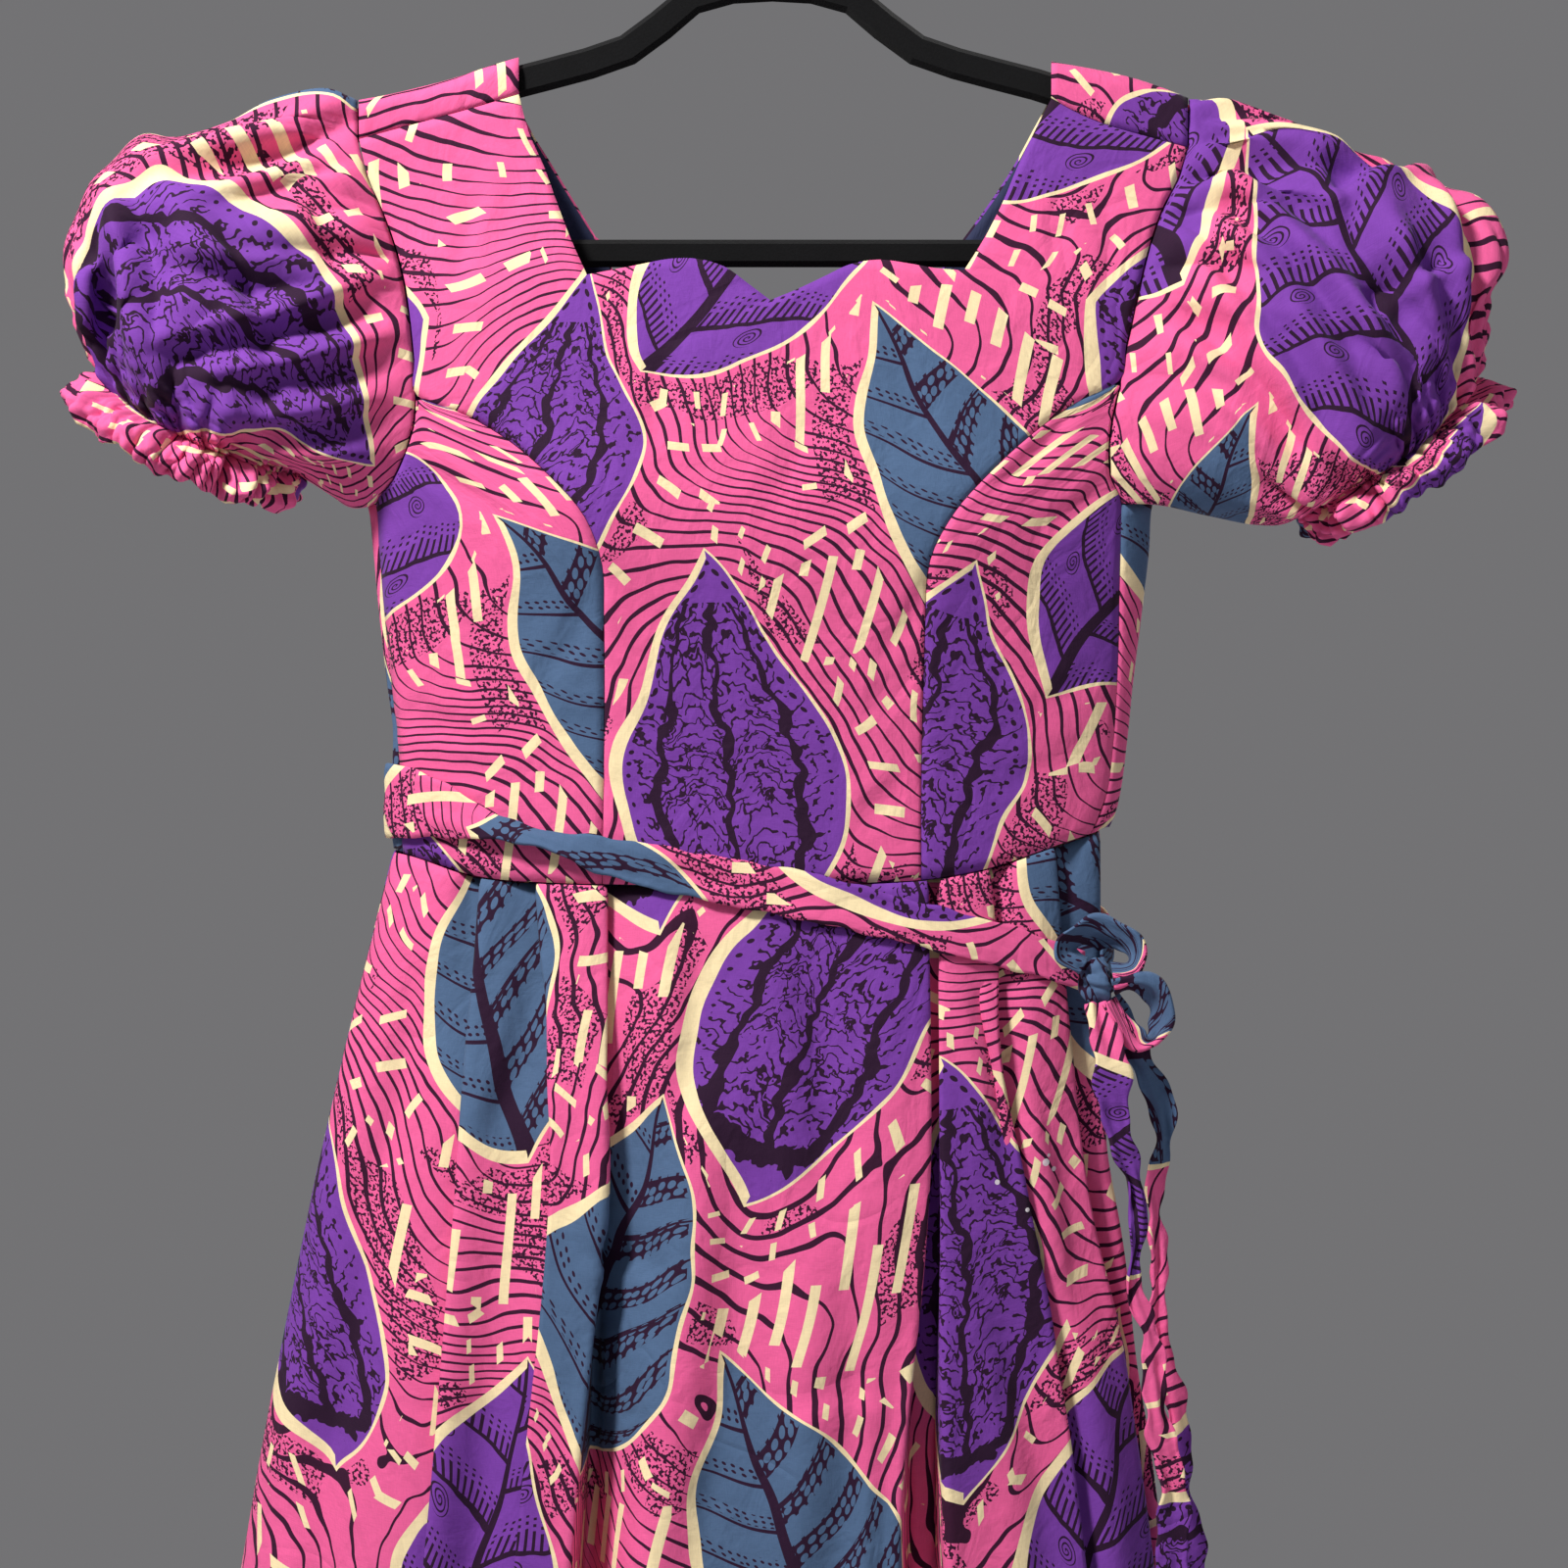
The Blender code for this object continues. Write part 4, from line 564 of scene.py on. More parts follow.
def outward(place, u, v, du, dv):
    """Outward direction of a form, from its places a little to each side."""
    across = place(u + du, v) - place(u - du, v)
    return unit(np.cross(across, place(u, v + dv) - place(u, v - dv)))


def front_normal(p):
    """Outward direction of the bodice front at a place in the room."""
    return outward(front_point, *seen(p), 0.2, 0.2)


def round_normal(p, hand):
    """Outward direction of the bodice's side and back at a place."""
    x, z = seen(p)
    face = BACK if p[1] > column(BODICE_DEPTH, 3, z) else FRONT
    angle = side_angle(x, z, face)
    return outward(lambda a, h: angle_point(a, h, hand), angle, z, 1.5, 0.3) * hand


# ------------------------------------------------------------- fine sheets
def facing_of(p, closed=False):
    """Directions that a grid faces."""
    across = np.roll(p, -1, 1) - np.roll(p, 1, 1) if closed else np.gradient(p, axis=1)
    return unit(np.cross(across, np.gradient(p, axis=0)))


def new_object(name, points, faces, material):
    """A mesh object, linked to the scene; its points are in metres."""
    mesh = bpy.data.meshes.new(name)
    mesh.from_pydata(points, [], faces)
    mesh.polygons.foreach_set("use_smooth", [True] * len(mesh.polygons))
    mesh.materials.append(material)
    obj = bpy.data.objects.new(name, mesh)
    bpy.context.scene.collection.objects.link(obj)
    return obj


def print_on(mesh, flat):
    """Gives a mesh the places of its points on the printed cloth."""
    layer = mesh.uv_layers.new(name="Print")
    index = np.zeros(len(mesh.loops), int)
    mesh.loops.foreach_get("vertex_index", index)
    layer.data.foreach_set("uv", flat[index].astype(np.float32).ravel())


class Sheet:
    """Cloth of one or more grids: places, print coordinates and facings."""

    def __init__(self, name):
        self.name = name
        self.grids = []

    def add(self, p, u, v, n=None):
        """Adds a grid; u and v are its place on the flat cloth, in millimetres."""
        uv = np.stack(np.broadcast_arrays(u, v), axis=-1)
        self.grids.append((p, uv, facing_of(p) if n is None else n))
        return self

    def weld(self):
        """Points, cloth places, facings and faces of all the grids in one."""
        places, faces = {}, []
        points, coords, normals = [], [], []
        for p, uv, n in self.grids:
            ids = np.zeros(p.shape[:2], int)
            for at in np.ndindex(ids.shape):
                key = tuple(np.round(p[at] * 50).astype(int))
                if key in places:
                    normals[places[key]] = normals[places[key]] + n[at]
                else:
                    places[key] = len(points)
                    points.append(p[at])
                    coords.append(uv[at])
                    normals.append(n[at])
                ids[at] = places[key]
            corners = ids[:-1, :-1], ids[:-1, 1:], ids[1:, 1:], ids[1:, :-1]
            for quad in np.stack(corners, axis=-1).reshape(-1, 4).tolist():
                if len(set(quad)) > 2:
                    faces.append(tuple(dict.fromkeys(quad)))
        return np.array(points), np.array(coords), unit(np.array(normals)), faces

    def build(self, material, turn=0.0, shift=(0.0, 0.0), thick=CLOTH):
        """A closed thin shell; turn and shift lay the print on the cloth."""
        points, coords, normals, faces = self.weld()
        count = len(points)
        uses = {}
        for f in faces:
            for a, b in zip(f, f[1:] + f[:1]):
                uses.setdefault((min(a, b), max(a, b)), []).append((a, b))
        shell = faces + [tuple(i + count for i in reversed(f)) for f in faces]
        shell += [(b, a, a + count, b + count) for (a, b), *more in uses.values() if not more]
        out = np.vstack([points + normals * thick / 2, points - normals * thick / 2]) * MM
        obj = new_object(self.name, out.tolist(), shell, material)
        c, s = math.cos(math.radians(turn)), math.sin(math.radians(turn))
        flat = (np.vstack([coords, coords]) @ ((c, s), (-s, c)) + shift) / PRINT_UNIT
        print_on(obj.data, flat)
        obj.data.validate()
        obj.data.update()
        return obj


def pushed(p, n, by):
    """A grid moved along its facings."""
    return p + n * by[..., None]


def press(p, n, creases, strength, lean=1.0):
    """Pushes listed creases into a grid: x0, z0, x1, z1, width, depth.

    lean makes one wall of each trough that much wider than the other."""
    move = np.zeros(p.shape[:2])
    for x0, z0, x1, z1, wide, deep in creases:
        ax, az = x1 - x0, z1 - z0
        size = math.hypot(ax, az)
        dx, dz = p[..., 0] - x0, p[..., 2] - z0
        t = (dx * ax + dz * az) / size**2
        bow = 0.05 * size * np.sin(np.clip(t, 0, 1) * math.pi)
        d = (dx * az - dz * ax) / size + bow
        d = np.where(d < 0, d / lean, d)
        fade = smooth(-0.08, 0.3, t) * (1 - smooth(0.6, 1.08, t))
        trough = np.exp(-((np.abs(d) / wide) ** 1.4))
        ridge = 0.55 * np.exp(-(((d - 1.5 * wide) / wide) ** 2))
        ridge = ridge + 0.35 * np.exp(-(((d + 1.7 * wide) / wide) ** 2))
        move += strength * deep * fade * (ridge - trough)
    return pushed(p, n, move)


def sink(p, n, near, depth=0.8, wide=1.7):
    """Draws cloth in at a seam; near is the distance from it."""
    return pushed(p, n, -depth * np.exp(-((near / wide) ** 2)))


def pucker(near, run, high, wide, pitch, seed):
    """Uneven small puckers beside a seam; run is the way along it."""
    wave = np.sin(run * 2 * math.pi / pitch + seed)
    wave = wave + 0.6 * np.sin(run * 2 * math.pi / (pitch * 1.63) + 2.1 * seed + 1)
    return high * wave * np.exp(-near / wide) * (1 - np.exp(-near / 1.5))


# ------------------------------------------------------------ bodice pieces
ARMHOLE = {}  # stretches of the armhole edges, by name and hand
STRAP = FRONT_STRAP_COLUMNS + 1
STRAP_FINE = FRONT_STRAP_COLUMNS * PARTS
STRAP_BASE = 6  # place on the front armhole where the strap begins
STRAP_MIDDLE = {LEFT: (-128, -249), RIGHT: (130, -246)}
SWEETHEART_DIP = 6
BACK_ARM_BASE, BACK_NECK_BASE = 4, 3  # where the back's strap begins


def waist_line(x0, x1, n):
    x = np.linspace(x0, x1, n)
    return np.stack([x, column(WAIST[FRONT], 1, x)], axis=1)


def flipped(g, hand):
    """Turns a grid of the left over, so that both hands wind the same way."""
    return g if hand == RIGHT else g[:, ::-1]


def front_sheet():
    """Centre panel with both straps, up to the forward shoulder seams."""
    sides, base = {}, {}
    for hand in (LEFT, RIGHT):
        seam = shifted(spline(PRINCESS[hand], SIDE_ROWS + ARM_ROWS + 1), -hand * SEAM_GAP / 2)
        arm = ARMHOLE_FRONT[hand]
        run = spline(arm[4 : STRAP_BASE + 1], 3)
        seam[-1] = run[0] + (-hand * 0.2, 0.25)
        sides[hand] = np.vstack([seam, run[1:]])
        base[hand] = spline((arm[STRAP_BASE], STRAP_MIDDLE[hand], NECK[hand][-1]), STRAP)
        ARMHOLE["run", hand] = front_grid(run)
    columns = 2 * FRONT_STRAP_COLUMNS + FRONT_NECK_COLUMNS + 1
    bottom = waist_line(sides[LEFT][0][0], sides[RIGHT][0][0], columns)
    sides[LEFT][0], sides[RIGHT][0] = bottom[0], bottom[-1]
    half = FRONT_NECK_COLUMNS // 2 + 1
    hearts = [spline(SWEETHEART[: SWEETHEART_DIP + 1], half), spline(SWEETHEART[SWEETHEART_DIP:], half)]
    top = [base[LEFT], *hearts, base[RIGHT][::-1]]
    flat = fine(coons(bottom, joined(top), sides[LEFT], sides[RIGHT]))
    # the fine neck line keeps its corners
    flat[-1] = joined([refine(line, PARTS) for line in top])
    body = front_grid(flat)
    n = facing_of(body)
    edge = run_along(body, 1)
    far_edge = edge[:, -1:] - edge
    middle = body.shape[1] // 2
    u = edge - edge[:, [middle]]
    run = run_along(body)
    v = body[:1, :, 2] + run
    keep = (np.arange(len(body)) <= (SIDE_ROWS + ARM_ROWS) * PARTS)[:, None]
    body = pushed(body, n, pucker(edge, run, 0.5, 12, 13, 0.4) * keep)
    body = pushed(body, n, pucker(far_edge, run, 0.5, 12, 12, 1.9) * keep)
    body = press(body, n, BODICE_CREASES[FRONT], CREASED)
    body = sink(body, n, np.minimum(edge, far_edge) + 99 * ~keep)
    body = sink(body, n, run, 0.7)
    sheet = Sheet("front_bodice_panel").add(body, u, v, n)
    for hand in (LEFT, RIGHT):
        outer = spline(ARMHOLE_FRONT[hand][STRAP_BASE:], STRAP_ROWS + 1)
        inner = spline(NECK[hand][::-1], STRAP_ROWS + 1)
        end = spline(SHOULDER_SEAM[hand], STRAP) - (0, SEAM_GAP / 2)
        outer[-1], inner[-1] = end[0], end[-1]
        strap = front_grid(fine(coons(base[hand], end, outer, inner))[:, ::-hand])
        arm, neck, start = (0, -1, slice(0, STRAP_FINE + 1))
        if hand == RIGHT:
            arm, neck, start = (-1, 0, slice(-STRAP_FINE - 1, None))
        ARMHOLE["strap", hand] = strap[::PARTS, arm]
        n = facing_of(strap)
        run = run_along(strap)
        strap = sink(strap, n, run[-1:] - run, 0.7)
        strap = press(strap, n, BODICE_CREASES[FRONT], CREASED)
        strap[0] = body[-1, start]
        across = run_along(strap, 1)
        sheet.add(strap, across - across[:, [neck]] + u[-1, start][neck],
                  v[-1:, start] + run_along(strap), n)
    return sheet


def side_sheet(name, hand):
    """Front side panel between the princess seam and the side seam."""
    arm = ARMHOLE_FRONT[hand]
    seam = shifted(spline(PRINCESS[hand], SIDE_ROWS + ARM_ROWS + 1), hand * SEAM_GAP / 2)
    side = shifted(spline(SIDE_SEAM[hand], SIDE_ROWS + 1), -hand * SEAM_GAP / 2)
    rise = spline(arm[:5], ARM_ROWS + 1)
    rise[-1] = np.array(arm[4]) + (0, -2.2)
    seam[-1] = np.array(arm[4]) + (-hand * 2.8, -1.4)
    outer = np.vstack([side, rise[1:]])
    bottom = waist_line(outer[0][0], seam[0][0], SIDE_COLUMNS + 1)
    outer[0], seam[0] = bottom[0], bottom[-1]
    top = np.linspace(outer[-1], seam[-1], SIDE_COLUMNS + 1)
    p = front_grid(fine(coons(bottom, top, outer, seam))[:, ::-hand])
    ARMHOLE["side", hand] = p[SIDE_ROWS * PARTS :: PARTS, 0 if hand == LEFT else -1]
    n = facing_of(p)
    to_side = run_along(p, 1)
    to_seam = to_side[:, -1:] - to_side
    if hand == RIGHT:
        to_side, to_seam = to_seam, to_side
    run = run_along(p)
    u, v = hand * to_seam, p[:1, :, 2] + run
    above = (np.arange(len(p)) > SIDE_ROWS * PARTS)[:, None]
    p = pushed(p, n, pucker(to_seam, run, 0.5, 12, 12, 2.6))
    p = press(p, n, BODICE_CREASES[FRONT], CREASED)
    p = sink(p, n, to_seam)
    p = sink(p, n, to_side + 99 * above, 0.5)
    return Sheet(name).add(sink(p, n, run, 0.7), u, v, n)


def back_sheet(name, hand):
    """Back panel, rolled over the shoulder to the forward shoulder seam."""
    side = spline(SIDE_SEAM[hand], SIDE_ROWS + 1)
    arm = np.array(ARMHOLE_BACK[hand], float)
    middle = len(BACK_NECK) // 2
    neck = np.array(BACK_NECK[: middle + 1] if hand == LEFT else BACK_NECK[middle:][::-1])
    wrap = 2 if hand == LEFT else 3
    columns = FRONT_STRAP_COLUMNS + BACK_NECK_COLUMNS

    def centre(z):
        """Angles and heights of the centre seam."""
        mid, half = middle_and_half(z)
        return np.stack([np.degrees(np.arccos((hand * SEAM_GAP / 2 - mid) * hand / half)), z], -1)

    # from the waist to the underarm
    edge = np.stack([side_angle(*side.T, FRONT) + SEAM_GAP * 0.4, side[:, 1]], axis=1)
    rise = arm[: BACK_ARM_BASE + 1]
    arm_edge = np.stack([side_angle(*rise.T, BACK), rise[:, 1]], axis=1)
    under = spline((edge[-1], arm_edge[0]), wrap + 1)
    a, z = arm_edge[0]
    across = np.linspace((a, z), (centre(z)[0], z - 2.0), columns + 1)
    across[-1] = centre(across[-1][1])
    angles = np.linspace(edge[0][0], 90.0, wrap + columns + 1)
    zs = np.full(len(angles), side[0][1])
    for _ in range(3):
        zs = column(WAIST[BACK], 1, angle_x(angles, zs, hand))
        angles = np.linspace(edge[0][0], centre(zs[-1])[0], wrap + columns + 1)
    bottom = np.stack([angles, zs], axis=1)
    bottom[0] = edge[0]
    seam = centre(np.linspace(bottom[-1][1], across[-1][1], SIDE_ROWS + 1))
    flat = fine(coons(bottom, joined([under, across]), edge, seam))
    flat[-1] = joined([refine(under, PARTS), refine(across, PARTS)])
    lower = angle_point(flat[..., 0], flat[..., 1], hand)
    # from the underarm to the foot of the strap and the neck
    line = spline(neck[BACK_NECK_BASE:], BACK_NECK_COLUMNS + 1)
    line[-1][0] = hand * SEAM_GAP / 2
    top = joined([spline((arm[BACK_ARM_BASE], neck[BACK_NECK_BASE]), STRAP), line])
    mid, half = middle_and_half(top[:, 1])
    turned = np.degrees(np.arccos(np.clip((top[:, 0] - mid) * hand / half, -1, 1)))
    top = np.stack([turned, top[:, 1]], axis=1)
    seam = centre(np.linspace(across[-1][1], top[-1][1], 6))
    flat = fine(coons(across, top, spline(arm_edge, 6), seam))
    block = angle_point(flat[..., 0], flat[..., 1], hand)
    # the strap, over the shoulder's ridge to the seam in front
    outer = spline(arm[BACK_ARM_BASE:], 5)
    inner = spline(neck[: BACK_NECK_BASE + 1][::-1], 5)
    grid = [block[-1][: STRAP_FINE + 1 : PARTS]]
    for r in range(1, 5):
        grid.append(back_point(*np.linspace(outer[r], inner[r], STRAP).T))
    seam = spline(SHOULDER_SEAM[hand], STRAP)
    x = seam[:, 0]
    ridge = column(RIDGE, 1, x)
    for turn, drop in ((35, 0), (90, 0), (145, 0), (180, 1.5)):
        lift = SHOULDER_ROLL * (1 - math.sin(math.radians(turn))) + drop
        grid.append(real(x, SHOULDER_ROLL * math.cos(math.radians(turn)), ridge - lift))
    grid.append(front_point(x, seam[:, 1] + SEAM_GAP / 2))
    strap = fine(np.array(grid))
    strap[0] = block[-1][: STRAP_FINE + 1]
    ARMHOLE["under", hand] = lower[-1][: wrap * PARTS + 1 : PARTS]
    ARMHOLE["back", hand] = np.vstack([block[PARTS::PARTS, 0], strap[PARTS : 4 * PARTS + 1 : PARTS, 0]])
    ARMHOLE["rise", hand] = strap[5 * PARTS, 0]
    ARMHOLE["ridge", hand] = strap[6 * PARTS, 0]
    ARMHOLE["roll", hand] = strap[7 * PARTS :: PARTS, 0]
    # places on the flat cloth, run from the centre seam and the waist
    u, v = run_along(lower, 1), lower[:1, :, 2] + run_along(lower)
    u = (u - u[:, -1:]) * hand
    u_block, v_block = run_along(block, 1), v[-1:, wrap * PARTS :] + run_along(block)
    u_block = (u_block - u_block[:, -1:]) * hand
    u_strap = run_along(strap, 1) * hand + u_block[-1, 0]
    v_strap = v_block[-1:, : STRAP_FINE + 1] + run_along(strap)

    sheet = Sheet(name)
    at_side, at_waist = (flipped(run_along(lower, k), hand) for k in (1, 0))
    at_middle = flipped(run_along(lower, 1)[:, -1:] - run_along(lower, 1), hand)
    lower = flipped(lower, hand)
    n = facing_of(lower)
    lower = pushed(lower, n, pucker(at_middle, at_waist, 0.4, 10, 14, 3.1 * hand))
    lower = press(lower, n, BODICE_CREASES[BACK], CREASED)
    for near, depth in ((at_side, 0.5), (at_middle, 0.8), (at_waist, 0.7)):
        lower = sink(lower, n, near, depth)
    sheet.add(lower, flipped(u, hand), flipped(v, hand), n)
    at_middle = flipped(run_along(block, 1)[:, -1:] - run_along(block, 1), hand)
    block = flipped(block, hand)
    n = facing_of(block)
    block = press(block, n, BODICE_CREASES[BACK], CREASED)
    block = sink(block, n, at_middle, 0.8)
    count = block.shape[1]
    block[0] = lower[-1][:count] if hand == LEFT else lower[-1][-count:]
    sheet.add(block, flipped(u_block, hand), flipped(v_block, hand), n)
    at_seam = flipped(run_along(strap)[-1:] - run_along(strap), hand)
    strap = flipped(strap, hand)
    n = facing_of(strap)
    strap = sink(strap, n, at_seam, 0.7)
    strap[0] = block[-1][-STRAP_FINE - 1 :] if hand == LEFT else block[-1][: STRAP_FINE + 1]
    return sheet.add(strap, flipped(u_strap, hand), flipped(v_strap, hand), n)


def facing_sheet():
    """Plain facing inside the back neck."""
    line = spline(BACK_NECK, 81)
    away = unit(shifted(line, FACING_WIDTH) - line)
    rows = []
    for w in np.linspace(1.0, FACING_WIDTH, 13):
        x, z = (line + away * w).T
        z = np.minimum(z, column(RIDGE, 1, x) - 12)
        x = np.clip(x, -168, 164)
        rows.append(real(x, bodice_y(x, z, BACK) - (WALL + FACING_WALL) / 2 - 0.6, z))
    p = np.array(rows)
    return Sheet("neck_facing_cloth").add(p, run_along(p, 1), run_along(p))


# ------------------------------------------------------------------ sleeves
NECK_IN = 5.0  # how far a sleeve draws in above its elastic
FRILL_LAP = 1.6  # how far the frill starts up inside the sleeve
CUFF_LEAN = math.radians(52)  # how far the cuff turns down at the underarm
CAP_END = 0.45  # share of the sleeve in which it leaves the armhole's shape


def armhole_loop(hand):
    """Places round the armhole, their angles on the sleeve, and the bodice's facing."""
    parts = {name: ARMHOLE[name, hand] for name in
             ("ridge", "roll", "strap", "run", "side", "under", "back", "rise")}
    ridge = parts["ridge"]
    front = [ridge, *parts["roll"], *parts["strap"][::-1], *parts["run"][::-1][1:],
             *parts["side"][::-1]]
    places = [*front, *parts["under"], *parts["back"], parts["rise"], ridge]
    rolled = len(parts["roll"])
    rows = []
    for i, p in enumerate(places):
        if i < rolled or i > len(places) - 3:
            n = unit(np.array([0.0, p[1], p[2] - ridge[2] + SHOULDER_ROLL]))
        else:
            n = front_normal(p) if i < len(front) else round_normal(p, hand)
        if not rows:
            rows.append((p, n))
            continue
        q, m = rows[-1]
        gap = np.linalg.norm(p - q)
        if gap >= 1.2:
            steps = max(1, round(gap / 1.6))
            rows += [(q + (p - q) * k / steps, m + (n - m) * k / steps) for k in range(1, steps + 1)]
    loop, facing = (np.array(values) for values in zip(*rows))
    run = run_along(loop)
    lowest = int(np.argmin(np.abs(loop[:, 1]) + 100 * (loop[:, 2] > loop[:, 2].min() + 25)))
    share = np.where(run < run[lowest], run / run[lowest],
                     1 + (run - run[lowest]) / (run[-1] - run[lowest]))
    return loop[:-1], math.pi * share[:-1], unit(facing)[:-1]


def arm_of(top, under):
    """Middle, half across, and unit way out of a sleeve's section."""
    arm = (np.array(top, float) - np.array(under, float)) / 2
    return (np.array(top) + under) / 2, arm, np.linalg.norm(arm)


def sleeve_ring(hand, t, phi, extra=0.0):
    """One ring of a sleeve in the room; phi 0 at the top, 90 at the front."""
    top, under = (spline(table[hand], [t])[0] for table in (SLEEVE_TOP, SLEEVE_UNDER))
    mid, arm, length = arm_of(top, under)
    axis = np.array([arm[1], -arm[0]]) / length
    axis *= np.sign(axis[0]) * hand
    cap = (np.cos(phi) * 0.5 + 0.5) * smooth(0, 0.07, t) * (1 - smooth(0.1, 0.5, t))
    wave = GATHER_HEIGHT * 0.9 * cap * np.sin(CAP_GATHERS * 2 * phi + 0.6)
    calm = smooth(0.6, 1, t) * (1 - 0.85 * near_turn(phi, 0.55))
    wave = wave + GATHER_HEIGHT * np.sin(CUFF_GATHERS * phi + 0.9) * calm + extra
    up = np.cos(phi) * (1 + wave / length)
    dip = CUFF_DIP * smooth(0.5, 1, t) * np.sin(phi)
    x, z = (mid[k] + arm[k] * up + axis[k] * dip for k in (0, 1))
    return real(x, -(column(SLEEVE_DEPTH, 1, t) + wave) * np.sin(phi), z)


def cuff_frame(hand, phi):
    """Ways out of and along the end of a sleeve at an angle."""
    _, arm, length = arm_of(SLEEVE_TOP[hand][-1], SLEEVE_UNDER[hand][-1])
    a = math.cos(phi) / length
    radial = unit(np.array([arm[0] / length * a, -math.sin(phi) / SLEEVE_DEPTH[-1][1],
                            arm[1] / length * a]))
    axis = np.array([arm[1], 0.0, -arm[0]]) / length
    axis *= -np.sign(axis[2])
    lean = CUFF_LEAN * near_turn(phi, 0.7)
    return axis * math.cos(lean) - radial * math.sin(lean), axis, radial


def pinched(angle):
    """Rounded ridges with sharp valleys between them, from -1 to 1."""
    return 1 - 2 * (1 - np.abs(np.sin(angle / 2))) ** 1.6


def neck(t, phi):
    """Draws the sleeve in above the elastic, least at the underarm."""
    free = 1 - 0.8 * near_turn(phi, 0.5)
    return -free * (NECK_IN * smooth(0.74, 0.95, t) + 1.6 * smooth(0.97, 1, t))


def fine_gathers(hand, t, phi):
    """Uneven gathers at the cap and at the elastic, and small puffs on it."""
    s = 1.3 if hand == LEFT else 0.4
    calm = 1 - 0.75 * near_turn(phi, 0.45)
    cap = np.clip(np.cos(phi) * 0.7 + 0.35, 0, 1)
    sway = 0.9 * np.sin(3 * phi + s + 4 * t) + 0.6 * np.sin(5 * phi - 2 * s)
    few = pinched(11 * phi + 2.4 * sway + s)
    some = pinched(21 * phi + 2.2 * sway - s + 1.5 * t)
    many = pinched(38 * phi + 3.0 * sway + 2 * s)
    uneven = 0.65 + 0.35 * np.sin(4 * phi + 2 * s) * np.sin(7 * phi - s)
    tight = smooth(0.78, 0.97, t)
    near = smooth(0.58, 0.86, t) * (1 - 0.5 * tight)
    far = smooth(0.36, 0.70, t) * (1 - 0.7 * tight)
    low = calm * uneven * (6.0 * far * few + 5.6 * near * some + 3.4 * tight * many)
    band = smooth(0.80, 0.86, t) * (1 - 0.6 * smooth(0.96, 1.0, t))
    puffs = 0.6 - 0.4 * math.cos((t - 0.80) * 2 * math.pi / 0.065)
    low = low + calm * 4.2 * band * puffs * pinched(29 * phi + 3 * sway + 14 * t)
    start = smooth(0.0, 0.05, t) * (1 - smooth(0.10, 0.46, t))
    top = pinched(27 * phi + 1.8 * sway) * 2.3 + pinched(13 * phi - 1.5 * sway + s) * 3.2
    return low + start * cap * uneven * top + neck(t, phi)


def turned_out(p, phi):
    """A closed grid with its columns wound so that it faces outward."""
    n = facing_of(p, True)
    if ((p - p.mean(axis=1, keepdims=True)) * n).sum(-1).mean() < 0:
        return p[:, ::-1], -n[:, ::-1], phi[::-1]
    return p, n, phi


def closed_ring(p, n, phi):
    """A closed grid and its cloth run, cut along the underarm seam."""
    u = np.where(phi > math.pi, phi - 2 * math.pi, phi) * SLEEVE_CLOTH / (2 * math.pi)
    cut = int(np.argmax(np.abs(np.diff(u)))) + 1
    p, n = (np.concatenate([a[:, cut:], a[:, : cut + 1]], axis=1) for a in (p, n))
    u = np.roll(u, -cut)
    return p, n, np.append(u, u[0] + SLEEVE_CLOTH * np.sign(u[-1] - u[0]))


def sleeve_sheet(name, hand):
    loop, phi, facing = armhole_loop(hand)
    off_armhole = loop - sleeve_ring(hand, 0.0, phi)
    way = np.roll(loop, -1, axis=0) - np.roll(loop, 1, axis=0)
    off_armhole = off_armhole + unit(np.cross(way, facing) * -hand) * ARMHOLE_GAP
    rows = []
    for t in np.linspace(0, 1, SLEEVE_ROWS):
        pull = max(0.0, 1 - t / CAP_END) ** 2
        rows.append(sleeve_ring(hand, t, phi, fine_gathers(hand, t, phi)) + off_armhole * pull)
    p, n, phi = turned_out(np.array(rows)[:, ::hand], phi[::hand])
    p = press(p, n, SLEEVE_CREASES[hand], SLEEVE_CREASED, SLEEVE_LEAN)
    p = sink(p, n, run_along(p), 0.7)
    v = -run_along(p).mean(axis=1, keepdims=True)
    p, n, u = closed_ring(p, n, phi)
    return Sheet(name).add(p, u, v, n), v[-1]


